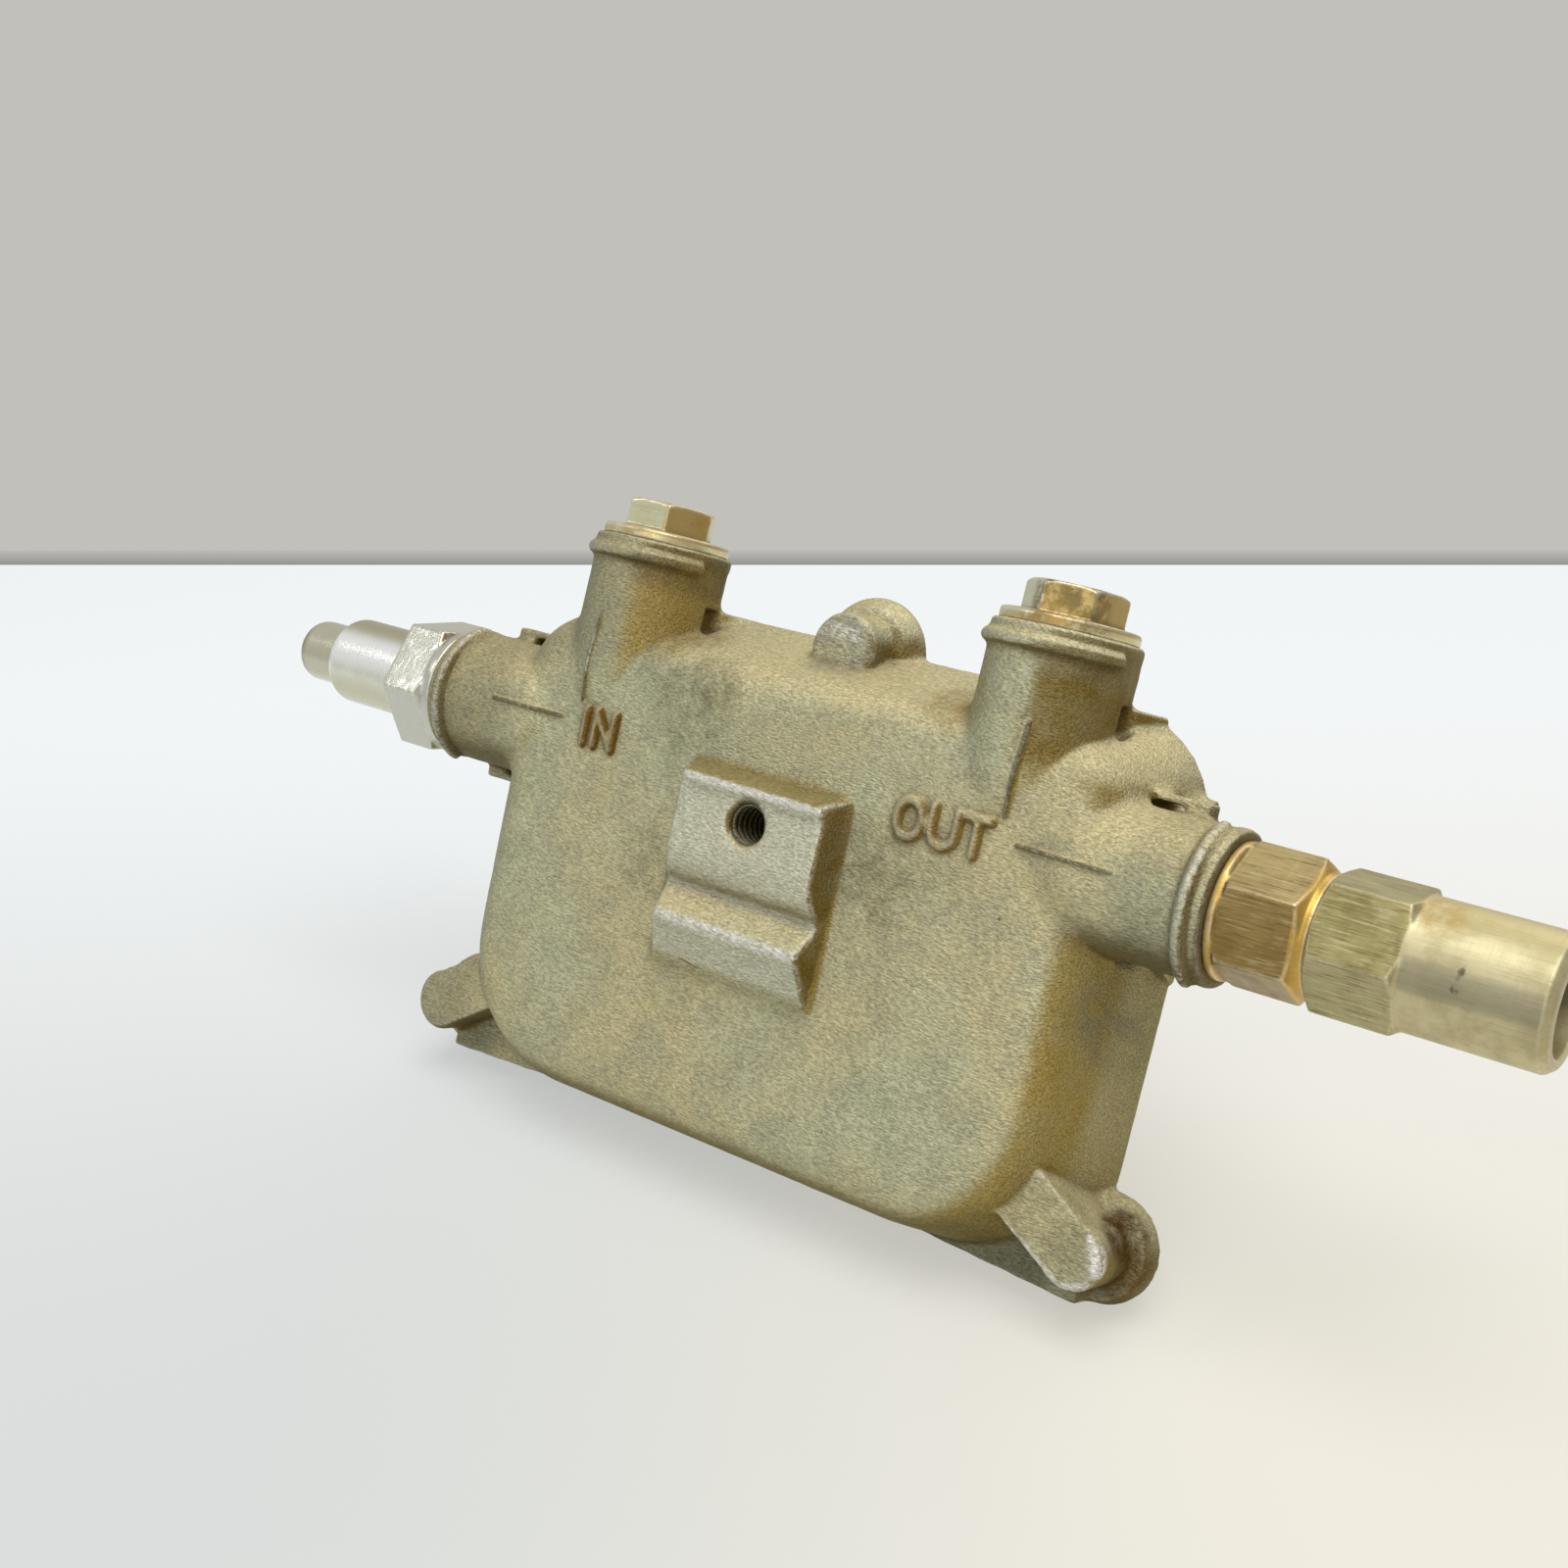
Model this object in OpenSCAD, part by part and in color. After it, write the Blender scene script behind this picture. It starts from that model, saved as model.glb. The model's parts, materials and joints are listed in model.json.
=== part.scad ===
// Outdoor directional tap for coaxial cable lines, with its entry plugs, cable connector and terminator.
// Millimetres, +Z up. The origin lies on the axis of the strand clamp's threaded hole, which faces -Y,
// where it crosses the plane of the housing's flat outer face.
// X runs along the line, from the input port on -X to the output port on +X.
// Modules are drawn in the port frame, centred between the side ports, and in_place() moves them.

/* [Housing] */
// Half width of the housing at the joint with the cover
half_w = 65; // [64:0.5:67]
// Top edge at the joint, above the side ports' axis
top_z = 24.9; // [24:0.1:26]
// Bottom edge at the joint, below the side ports' axis
bottom_z = -63; // [-64:0.2:-62]
// Corner radius at the joint
joint_corner_r = 17; // [16:0.5:18]
// Distance from the ports' plane to the flat outer face
face_depth = 9.8; // [9:0.1:10.5]
// Distance from the ports' plane to the joint
joint_depth = 12; // [11.5:0.1:12.5]
// Radius of the edge round the flat face
edge_r = 8; // [7:0.5:9]
// Half width of the flat face, inside its rounded edge
face_half_w = 51.3; // [50:0.1:53]
// Top of the flat face, above the side ports' axis
face_top = 11.3; // [10:0.1:13]
// Bottom of the flat face, below the side ports' axis
face_bottom = -53.9; // [-55:0.1:-52]
// How much less deep the housing is at its bottom edge than at its top edge
face_lean = 2.2; // [0:0.1:4]
// Size of the upper corners' curve, at the middle of the rounded edge
high_corner = 3; // [2:0.5:8]
// Size of the lower corners' curve, at the middle of the rounded edge
low_corner = 16; // [7:0.5:18]
// Wall thickness of the castings
wall = 3; // [2.5:0.1:3.4]
// Width of the flat rim that carries the seals
rim_w = 5; // [4.8:0.1:5.4]

/* [Ports] */
// Distance from the middle to a top port's axis
port_x = 40; // [38:0.5:42]
// Height of a top port's face above the side ports' axis
top_port_z = 34; // [33:0.5:36]
// Distance from the middle to a side port's face
side_port_x = 76.4; // [75:0.2:80]
// Radius of a port boss
boss_r = 11.7; // [11.5:0.1:12]
// Radius of the lip at a port's face
lip_r = 11.95; // [11.8:0.05:11.95]
// Outer radius of the bead round a port
bead_r = 13.05; // [12.8:0.05:13.4]
// Radius of a port's tapped bore
bore_r = 7.45; // [7.3:0.05:7.6]
// How far a port's flat flanks reach behind its axis
flank_depth = 4; // [3.6:0.1:5]

/* [Strand clamp pad] */
// Half width of the pad at its face
pad_half_w = 13.9; // [13:0.1:15]
// Height of the pad above the housing's face
pad_h = 4.8; // [4:0.1:5.5]
// Height of the threaded hole below the side ports' axis
clamp_drop = 7.2; // [6.5:0.1:8]
// Radius of the threaded hole's wall
clamp_hole_r = 3.3; // [3.2:0.05:3.5]
// Depth of the threaded hole
clamp_hole_depth = 12; // [10:0.5:13]

/* [Bolts and ears] */
// Distance from the middle to a lower bolt
low_bolt_x = 65.8; // [65:0.1:67]
// Height of the lower bolts
low_bolt_z = -55.9; // [-57:0.1:-55]
// Height of the top bolt
top_bolt_z = 23.7; // [23:0.1:24]
// Radius of a lower ear
low_ear_r = 8.7; // [8.4:0.1:9.2]
// Radius of the top ear
top_ear_r = 9.9; // [9.6:0.1:10.4]
// Thickness of the housing's ears
ear_t = 4; // [2.8:0.1:5]
// Radius of the bolt's thread
bolt_r = 3.1; // [3:0.05:3.15]

/* [Front cover] */
// Thickness of the cover's flange
flange_t = 4; // [3.5:0.1:5]
// How far the cover's edge stands back from the housing's edge
flange_inset = 1.5; // [1.2:0.1:1.8]
// Height of the cover's raised front above the joint
cover_h = 20; // [18:0.5:22]
// Half width of the raised front
cover_half_w = 56; // [54:0.5:57]
// Top of the raised front
cover_top_z = 14; // [12:0.5:14.5]
// Bottom of the raised front
cover_bottom_z = -56; // [-57:0.5:-55.5]

/* [Subscriber ports] */
// Half the spacing of the subscriber ports across
tap_x = 18; // [16:0.5:24]
// Height of the upper pair
tap_high_z = -19.5; // [-22:0.5:-18]
// Height of the lower pair
tap_low_z = -45.5; // [-46:0.5:-44]
// Radius of the port's outer thread
tap_r = 4.75; // [4.7:0.05:4.8]
// Length of the thread beyond the hexagon
tap_thread = 11.5; // [10:0.5:12]

/* [Line fittings] */
// Radius of a plug's flange
plug_flange_r = 11.05; // [10.8:0.05:11.4]
// Thickness of a plug's flange
plug_flange_t = 1.9; // [1.6:0.1:2.2]
// Width of a plug's hexagon across its flats
plug_hex_af = 14.29; // [14.2:0.05:14.6]
// Height of a plug's hexagon
plug_hex_h = 5.1; // [4.5:0.1:6]
// Width of the connector's hexagons across their flats
connector_hex_af = 19.05; // [19:0.05:19.4]
// Radius of the connector's barrel
barrel_r = 9.7; // [9.6:0.1:10]
// Distance from the middle to the barrel's open end
barrel_end_x = 124.5; // [122:0.5:126]
// Radius of the opening for the cable
cable_r = 7.2; // [7:0.1:7.3]
// Width of the terminator's hexagon across its flats
terminator_hex_af = 22.22; // [22:0.05:22.4]
// Radius of the terminator's body
terminator_r = 8.1; // [7.9:0.1:8.3]
// Distance from the middle to the terminator's tip
terminator_end_x = 118.7; // [117:0.5:119.5]
// Radius of a centre pin
pin_r = 1.2; // [1.1:0.05:1.25]

/* [Hidden] */

// A hair of play between parts that screw or slide into each other
play = 0.05;
smooth = 64;
fillet_fn = 32;

// Places of the bolts, as [x, z]
bolt_places = [[-low_bolt_x, low_bolt_z], [low_bolt_x, low_bolt_z], [0, top_bolt_z]];
low_boss_r = 5.4;
top_boss_r = 6.2;
low_boss_front = -1.8;
top_boss_front = 0.6;
tapped_r = bolt_r + play;

// The ring seals at the ports' mouths
seal_r = 0.6;
seal_seat_r = 9.3;
seal_seat_depth = 1.2;

// Depth of the centre of the curve round the face
edge_y = edge_r - face_depth;
pocket_floor = wall - face_depth;
clamp_face = -face_depth - pad_h;
// The seals dip under the top bolt, on a circle round it
bolt_relief = 3.9;

// Stations along Y in front of the joint
ear_front = joint_depth + flange_t;
cover_front = joint_depth + cover_h;
board_y = 18;
board_t = 1.6;
board_half_w = 50;
board_top = 8;
board_bottom = -50;
standoff_x = 44;
standoff_z = [2, -44];
tap_places = [[-tap_x, tap_high_z], [tap_x, tap_high_z], [-tap_x, tap_low_z], [tap_x, tap_low_z]];
tap_hex_y = cover_front + 1;
tap_hex_t = 2.5;
tap_end = tap_hex_y + tap_hex_t + tap_thread;
post_r = 5;
seat_r = 6.6;
post_front = 6;
post_back = -2.8;
socket_off = 3.2;

// Stations along X on the connector
nose_len = 11;
hex_1_x = side_port_x + 1.2;
neck_x = hex_1_x + 11.8;
hex_2_x = neck_x + 1.5;
barrel_x = hex_2_x + 13.1;
nut_thread_r = 8.6;
nut_thread_end = 97.5;
clamp_ring_x = 98;
clamp_ring_end = 103;
cable_seal_end = 104.6;

// Stations along X on the terminator, measured outwards
collar_end = side_port_x + 1.8;
terminator_hex_end = collar_end + 9;
terminator_shoulder = 108;

// Moves a shape from the port frame to the part's frame
module in_place() {
    translate([0, face_depth, clamp_drop]) children();
}

// Turns a shape drawn along +Z so that it runs along Y, away from the strand side
module along_y() {
    rotate([-90, 0, 0]) children();
}

// Turns a shape drawn up a top port so that it runs out of a side port
module along_x(side) {
    rotate([0, 90 * side, 0]) children();
}

// A rectangle with rounded corners, between two heights, made of straight steps
module rounded_outline(w, low, high, r, steps = 8) {
    polygon([for (corner = [[w - r, high - r, 0], [r - w, high - r, 90], [r - w, low + r, 180],
                            [w - r, low + r, 270]])
             for (i = [0:steps])
             let (a = corner[2] + 90 * i / steps)
             [corner[0] + r * cos(a), corner[1] + r * sin(a)]]);
}

// The joint's outline, drawn in from its edge by a given amount, as a plan in X and Z
module joint_outline(inset) {
    difference() {
        rounded_outline(half_w - inset, bottom_z + inset, top_z - inset, joint_corner_r - inset);
        translate([0, top_bolt_z]) circle(bolt_relief + inset, $fn = smooth);
    }
}

// A plan in X and Z, given a thickness from one Y to another
module plate_at(y_from, y_to) {
    translate([0, y_to, 0]) rotate([90, 0, 0]) linear_extrude(y_to - y_from) children();
}

// A quarter-round dome about Y, its crown towards -Y
module corner_dome(major, minor) {
    rotate([90, 0, 0]) rotate_extrude($fn = fillet_fn)
        polygon(concat([[0, -0.5], [major + minor, -0.5]],
                       [for (a = [0:11.25:90]) [major + minor * cos(a), minor * sin(a)]], [[0, minor]]));
}

// The drafted shell of the housing, with a given inset all round
module housing_form(inset) {
    minor = edge_r - inset;
    rear = joint_corner_r - inset;
    hull() {
        for (side = [-1, 1]) {
            translate([side * (face_half_w - high_corner), edge_y, face_top - high_corner])
                corner_dome(high_corner, minor);
            translate([side * (face_half_w - low_corner), edge_y + face_lean, face_bottom + low_corner])
                corner_dome(low_corner, minor);
            for (z = [top_z - joint_corner_r, bottom_z + joint_corner_r])
                translate([side * (half_w - joint_corner_r), joint_depth - 1, z])
                    along_y() cylinder(h = 1, r = rear, $fn = fillet_fn);
        }
    }
}

// One port's boss, drawn up a top port: the cylinder, its lip, bead, flat flanks and shoulders
module port_boss(start, face, shoulder) {
    taper = 6;
    translate([0, 0, start]) cylinder(h = taper, r1 = face_depth + 0.1, r2 = boss_r, $fn = smooth);
    translate([0, 0, start + taper]) cylinder(h = face - start - taper - 0.4, r = boss_r, $fn = smooth);
    translate([0, 0, face - 2]) cylinder(h = 1.6, r = lip_r, $fn = smooth);
    translate([0, 0, face - 0.4]) cylinder(h = 0.4, r1 = lip_r, r2 = lip_r - 0.4, $fn = smooth);
    port_bead(face - 2.9);
    flank_w = boss_r - 0.2;
    translate([-flank_w, 0, shoulder - 1]) cube([2 * flank_w, flank_depth, face - shoulder + 0.6]);
    for (side = [-1, 1]) port_shoulder(side, start + taper, shoulder);
}

// The half-round bead on the outer side of a port's boss, which ends short of the flanks
module port_bead(z) {
    bead = 1.15;
    end_y = 3.4;
    intersection() {
        translate([0, 0, z]) rotate_extrude($fn = smooth)
            translate([bead_r - bead, 0]) circle(bead, $fn = 24);
        translate([-bead_r - 1, -bead_r - 1, z - 2]) cube([2 * bead_r + 2, bead_r + 1 - end_y, 4]);
    }
}

// The wedge between a port's flank and the housing's rim
module port_shoulder(side, start, end) {
    translate([0, 0, start]) linear_extrude(end - start)
        polygon([for (p = [[boss_r - 2, 5], [boss_r, 5], [boss_r + 2.7, 10.5],
                           [boss_r + 2.7, joint_depth], [boss_r - 2, joint_depth]])
                 [side * p[0], p[1]]]);
}

// The tapped bore of a port and its seal seat
module port_bore(inside, face) {
    translate([0, 0, inside]) cylinder(h = face - inside + 1, r = bore_r, $fn = smooth);
    translate([0, 0, face - seal_seat_depth]) cylinder(h = 3, r = seal_seat_r, $fn = smooth);
}

// The pockets at the foot of a port's flanks
module port_pockets(top) {
    w = 3;
    h = 8;
    for (side = [-1, 1])
        translate([side * (boss_r - 0.5) - w / 2, 0.3, top - h]) cube([w, flank_depth + 0.4, h]);
}

// The short lug on a side port's flank, beyond the rim
module flank_lug(side) {
    translate([side > 0 ? boss_r - 2 : -boss_r - 2.3, 0.8, half_w - 5])
        cube([4.3, flank_depth - 0.8, 9.3]);
}

// Places of the top ports and of the side ports; the children are drawn up a top port
module top_ports() {
    for (side = [-1, 1]) translate([side * port_x, 0, 0]) children();
}

module side_ports() {
    for (side = [-1, 1]) along_x(side) children();
}

// The strand clamp pad: its section runs across the housing, and its ends lean in
module clamp_pad() {
    curve_r = 9.6;
    section = concat(
        [[-2.4, 2.4], [0, 0.8], [4, -0.4], [5.5, -1.2], [5.8, -1.9], [5.6, -2.6], [pad_h, -3.2]],
        [for (a = [0:8:56]) [pad_h - curve_r * (1 - cos(a)), -12 - curve_r * sin(a)]],
        [[3.7, -24], [4.2, -24.9], [4.1, -26], [3.5, -26.8], [0, -33], [-2.4, -36]]);
    side_w = pad_half_w + 2.6;
    intersection() {
        translate([-side_w, 0, 0]) rotate([90, 0, 90]) linear_extrude(2 * side_w)
            polygon([for (p = section) [-face_depth - p[0], p[1]]]);
        translate([0, 0, -40]) linear_extrude(45)
            polygon([[-side_w, -face_depth + 2.4], [side_w, -face_depth + 2.4],
                     [pad_half_w, clamp_face - 1.2], [-pad_half_w, clamp_face - 1.2]]);
    }
}

// A bolt's boss along Y, its front edge broken
module bolt_boss(r, front) {
    chamfer = 0.8;
    translate([0, front, 0]) along_y() {
        cylinder(h = chamfer, r1 = r - chamfer, r2 = r, $fn = smooth);
        translate([0, 0, chamfer]) cylinder(h = joint_depth - 1 - front - chamfer, r = r, $fn = smooth);
    }
}

// An ear along Y, leaning out from its front face to its edge at the joint
module bolt_ear(r, lean, thick) {
    edge = 1.8;
    translate([0, joint_depth - thick, 0]) along_y() {
        cylinder(h = thick - edge, r1 = r - lean, r2 = r, $fn = smooth);
        translate([0, 0, thick - edge]) cylinder(h = edge, r = r, $fn = smooth);
    }
}

// A lower bolt boss: round at the ear, its web rising as it runs in to the housing's corner
module low_boss(side) {
    run = 16;
    rise = 1.2;
    web_w = 2 * low_boss_r - 0.8;
    translate([side * low_bolt_x, 0, low_bolt_z]) {
        bolt_boss(low_boss_r, low_boss_front);
        rotate([0, side * 32, 0]) translate([0, 0, -web_w / 2]) linear_extrude(web_w)
            polygon([[0, low_boss_front], [-side * run, low_boss_front - rise],
                     [-side * run, joint_depth - 1], [0, joint_depth - 1]]);
    }
}

// The web that carries the bottom edge straight on to a lower ear
module ear_web(side) {
    plate_at(5, joint_depth)
        polygon([[side * 34, bottom_z + 4], [side * 34, bottom_z],
                 [side * low_bolt_x, low_bolt_z - low_ear_r], [side * low_bolt_x, low_bolt_z]]);
}

module housing_ears() {
    for (side = [-1, 1]) {
        low_boss(side);
        ear_web(side);
        translate([side * low_bolt_x, 0, low_bolt_z]) bolt_ear(low_ear_r, 0.8, ear_t);
    }
    translate([0, 0, top_bolt_z]) {
        bolt_boss(top_boss_r, top_boss_front);
        bolt_ear(top_ear_r, 1.9, ear_t + 0.8);
    }
}

// The hollow of the housing, open at the joint, round the pillars that stand in it
module housing_hollow() {
    difference() {
        housing_form(wall);
        // The rim is thicker than the wall, so the pocket stops short of it
        plate_at(joint_depth - 6, joint_depth + 1) difference() {
            rounded_outline(half_w + 5, bottom_z - 5, top_z + 5, joint_corner_r);
            joint_outline(rim_w);
        }
        translate([0, -face_depth, top_bolt_z]) along_y()
            cylinder(h = 30, r = bolt_relief + rim_w, $fn = smooth);
        translate([0, -face_depth, -clamp_drop]) along_y()
            cylinder(h = clamp_hole_depth - pad_h + 2.5, r = 7, $fn = smooth);
    }
    plate_at(joint_depth - 0.1, joint_depth + 1) joint_outline(rim_w);
    // Flat seats for the seizure posts' insulators
    for (side = [-1, 1]) translate([side * port_x, pocket_floor, 0]) along_y()
        cylinder(h = 3, r = seat_r + play, $fn = smooth);
}

module back_housing() in_place() color("darkkhaki") {
    difference() {
        union() {
            housing_form(0);
            housing_ears();
            clamp_pad();
            top_ports() port_boss(5, top_port_z, top_z);
            side_ports() port_boss(48, side_port_x, half_w + 0.7);
            along_x(1) flank_lug(-1);
            for (side = [-1, 1]) along_x(-1) flank_lug(side);
        }
        housing_hollow();
        top_ports() port_bore(12, top_port_z);
        side_ports() port_bore(52, side_port_x);
        difference() {
            union() {
                top_ports() port_pockets(top_z);
                side_ports() port_pockets(half_w);
            }
            housing_form(wall / 2);
        }
        for (p = bolt_places)
            translate([p[0], p[1] > 0 ? 5.5 : 1, p[1]]) along_y()
                cylinder(h = 20, r = tapped_r, $fn = smooth);
        translate([0, clamp_face - 1, -clamp_drop]) along_y()
            cylinder(h = clamp_hole_depth + 1, r = clamp_hole_r, $fn = smooth);
        translate([0, clamp_face - 0.01, -clamp_drop]) along_y()
            cylinder(h = 0.75, r1 = 4.05, r2 = clamp_hole_r, $fn = smooth);
    }
}

// The raised front of the cover, its edge rounded
module cover_form() {
    minor = 4;
    r = 12;
    reach = cover_front - joint_depth;
    hull() {
        for (x = [-1, 1], z = [cover_bottom_z + 12, cover_top_z - 12])
            translate([x * (cover_half_w - 12), joint_depth, z]) {
                along_y() cylinder(h = reach - minor, r = r, $fn = fillet_fn);
                translate([0, reach - minor, 0]) rotate([0, 0, 180])
                    corner_dome(r - minor, minor);
            }
    }
}

module face_plate() in_place() color("darkkhaki") {
    difference() {
        union() {
            plate_at(joint_depth, joint_depth + flange_t)
                rounded_outline(half_w - flange_inset, bottom_z + flange_inset, top_z - flange_inset,
                                joint_corner_r - flange_inset);
            cover_form();
            for (p = bolt_places) {
                ear_r = (p[1] > 0 ? top_ear_r : low_ear_r) - 1.6 * flange_inset;
                translate([p[0], joint_depth, p[1]]) along_y()
                    cylinder(h = flange_t, r = ear_r, $fn = smooth);
            }
            for (p = tap_places)
                translate([p[0], cover_front - 4, p[1]]) along_y() cylinder(h = 5, r = 7.6, $fn = smooth);
        }
        difference() {
            plate_at(joint_depth - 1, cover_front - wall)
                rounded_outline(cover_half_w - wall, cover_bottom_z + wall, cover_top_z - wall, 9);
            for (x = [-1, 1], z = standoff_z)
                translate([x * standoff_x, board_y + board_t, z]) along_y()
                    cylinder(h = 20, r = 3.4, $fn = smooth);
            for (p = tap_places)
                translate([p[0], cover_front - wall - 2, p[1]]) along_y()
                    cylinder(h = 10, r = 7.6, $fn = smooth);
        }
        for (x = [-1, 1], z = standoff_z)
            translate([x * standoff_x, board_y + board_t - 1, z]) along_y()
                cylinder(h = 8, r = 1.3, $fn = smooth);
        for (p = bolt_places)
            translate([p[0], joint_depth - 1, p[1]]) along_y()
                cylinder(h = 20, r = bolt_r + 0.3, $fn = smooth);
        for (p = tap_places)
            translate([p[0], cover_front - 8, p[1]]) along_y()
                cylinder(h = 20, r = tap_r + play, $fn = smooth);
        weather_ring();
        mesh_ring();
    }
}

// A ring between two insets of the joint's outline, let into the cover
module seal_ring(outer, inner, depth) {
    plate_at(joint_depth, joint_depth + depth) difference() {
        joint_outline(outer);
        joint_outline(inner);
    }
}

// The rubber seal lies outside the wire mesh seal
module weather_ring() seal_ring(2.4, 3.7, 1.3);
module mesh_ring() seal_ring(4.1, 4.8, 1);

module weather_gasket() in_place() color("dimgray") weather_ring();

module rf_gasket() in_place() color("silver") mesh_ring();

// A hexagonal bar along +Z, its corners turned off at the far end and, if asked, at the near end
module hex_bar(af, h, far = 1, near = 0) {
    corner = af / sqrt(3);
    lift = (corner - af / 2) * 0.6;
    intersection() {
        cylinder(h = h, r = corner, $fn = 6);
        union() {
            translate([0, 0, near * lift])
                cylinder(h = h - (near + far) * lift, r = corner + 0.2, $fn = smooth);
            if (far > 0)
                translate([0, 0, h - lift])
                    cylinder(h = lift, r1 = corner + 0.2, r2 = af / 2 - 0.1, $fn = smooth);
            if (near > 0)
                cylinder(h = lift, r1 = af / 2 - 0.1, r2 = corner + 0.2, $fn = smooth);
        }
    }
}

module plate_bolts() in_place() color("silver") {
    for (p = bolt_places)
        translate([p[0], p[1] > 0 ? 6 : 2, p[1]]) along_y() {
            shank = ear_front - (p[1] > 0 ? 6 : 2);
            cylinder(h = shank, r = bolt_r, $fn = smooth);
            translate([0, 0, shank]) cylinder(h = 1, r = 5.6, $fn = smooth);
            translate([0, 0, shank + 1]) hex_bar(9.5, 3);
        }
}

// A plug for a top port, drawn up from the port's face
module port_plug(turn) {
    translate([0, 0, top_port_z - nose_len]) cylinder(h = nose_len, r = bore_r - play, $fn = smooth);
    translate([0, 0, top_port_z]) cylinder(h = plug_flange_t - 0.4, r = plug_flange_r, $fn = smooth);
    translate([0, 0, top_port_z + plug_flange_t - 0.4])
        cylinder(h = 0.4, r1 = plug_flange_r, r2 = plug_flange_r - 0.4, $fn = smooth);
    translate([0, 0, top_port_z + plug_flange_t]) rotate([0, 0, turn]) hex_bar(plug_hex_af, plug_hex_h);
}

module port_plug_left() in_place() color("khaki") translate([-port_x, 0, 0]) port_plug(2);

module port_plug_right() in_place() color("khaki") translate([port_x, 0, 0]) port_plug(-43);

// The ring that seals a fitting against a port, in the seat at the port's mouth
module port_seal(face) {
    translate([0, 0, face - seal_r]) rotate_extrude($fn = smooth)
        translate([seal_seat_r - seal_r - 0.25, 0]) circle(seal_r, $fn = 24);
}

module plug_seal_left() in_place() color("dimgray") translate([-port_x, 0, 0]) port_seal(top_port_z);

module plug_seal_right() in_place() color("dimgray") translate([port_x, 0, 0]) port_seal(top_port_z);

// The insulating seat of a seizure post, on the housing's floor
module seizure_base() {
    translate([0, pocket_floor, 0]) along_y() {
        cylinder(h = post_back - pocket_floor, r = seat_r, $fn = smooth);
        difference() {
            cylinder(h = post_back - pocket_floor + 1, r = seat_r, $fn = smooth);
            cylinder(h = 10, r = post_r + play, $fn = smooth);
        }
    }
}

module seizure_base_left() in_place() color("white") translate([-port_x, 0, 0]) seizure_base();

module seizure_base_right() in_place() color("white") translate([port_x, 0, 0]) seizure_base();

// The brass post that takes a centre pin from the side or from above, and clamps it
module seizure_post(side) {
    difference() {
        translate([0, post_back, 0]) along_y() cylinder(h = post_front - post_back, r = post_r, $fn = smooth);
        translate([0, 0, -2.5]) cylinder(h = 20, r = pin_r + 0.15, $fn = smooth);
        translate([side * -3, 0, 0]) along_x(side) cylinder(h = 20, r = pin_r + 0.15, $fn = smooth);
        along_y() cylinder(h = 20, r = 1.85, $fn = smooth);
        translate([-side * socket_off, post_front - 3.6, 0]) along_y() cylinder(h = 9, r = 0.8, $fn = smooth);
    }
}

module seizure_post_left() in_place() color("goldenrod") translate([-port_x, 0, 0]) seizure_post(-1);

module seizure_post_right() in_place() color("goldenrod") translate([port_x, 0, 0]) seizure_post(1);

// The slotted screw that bears on the centre pin
module seizure_screw() {
    translate([0, pin_r, 0]) along_y() difference() {
        cylinder(h = 7.4, r = 1.8, $fn = smooth);
        translate([-3, -0.35, 6.2]) cube([6, 0.7, 3]);
    }
}

module seizure_screw_left() in_place() color("silver") translate([-port_x, 0, 0]) seizure_screw();

module seizure_screw_right() in_place() color("silver") translate([port_x, 0, 0]) seizure_screw();

module circuit_board() in_place() color("seagreen") {
    cut = 4;
    plate_at(board_y, board_y + board_t) difference() {
        polygon([[-board_half_w + cut, board_top], [board_half_w - cut, board_top],
                 [board_half_w, board_top - cut], [board_half_w, board_bottom + cut],
                 [board_half_w - cut, board_bottom], [-board_half_w + cut, board_bottom],
                 [-board_half_w, board_bottom + cut], [-board_half_w, board_top - cut]]);
        for (x = [-1, 1], z = standoff_z) translate([x * standoff_x, z]) circle(1.5, $fn = smooth);
        for (x = [-1, 1]) translate([x * (port_x - socket_off), 0]) circle(0.75, $fn = smooth);
        for (p = tap_places) translate(p) circle(0.65, $fn = smooth);
    }
}

module board_screws() in_place() color("silver") {
    for (x = [-1, 1], z = standoff_z)
        translate([x * standoff_x, board_y - 1.8, z]) along_y() {
            cylinder(h = 1.8, r = 2.6, $fn = smooth);
            cylinder(h = 8, r = 1.25, $fn = smooth);
        }
}

// The pin that joins the board to a seizure post
module board_pin() {
    translate([0, post_front - 3, 0]) along_y() {
        cylinder(h = board_y + board_t + 1 - post_front + 3, r = 0.7, $fn = 24);
        translate([0, 0, board_y - 2 - post_front + 3]) cylinder(h = 2, r = 1.6, $fn = 24);
    }
}

module board_pin_in() in_place() color("gold") translate([socket_off - port_x, 0, 0]) board_pin();

module board_pin_out() in_place() color("gold") translate([port_x - socket_off, 0, 0]) board_pin();

// The two-hole ferrite block of the directional coupler
module coupler_core() in_place() color("dimgray") {
    translate([0, board_y - 7, -2]) difference() {
        translate([-7, 0, -6]) cube([14, 7, 12]);
        for (x = [-1, 1]) translate([x * 3.2, 3.5, -7]) cylinder(h = 14, r = 1.7, $fn = 32);
    }
}

// A ferrite ring on the board
module splitter_core(x, z) {
    translate([x, board_y - 5, z]) along_y() difference() {
        cylinder(h = 5, r = 4.8, $fn = 48);
        translate([0, 0, -1]) cylinder(h = 7, r = 2.3, $fn = 48);
    }
}

module splitter_core_1() in_place() color("dimgray") splitter_core(0, -24);

module splitter_core_2() in_place() color("dimgray") splitter_core(-18, -32);

module splitter_core_3() in_place() color("dimgray") splitter_core(18, -32);

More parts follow.
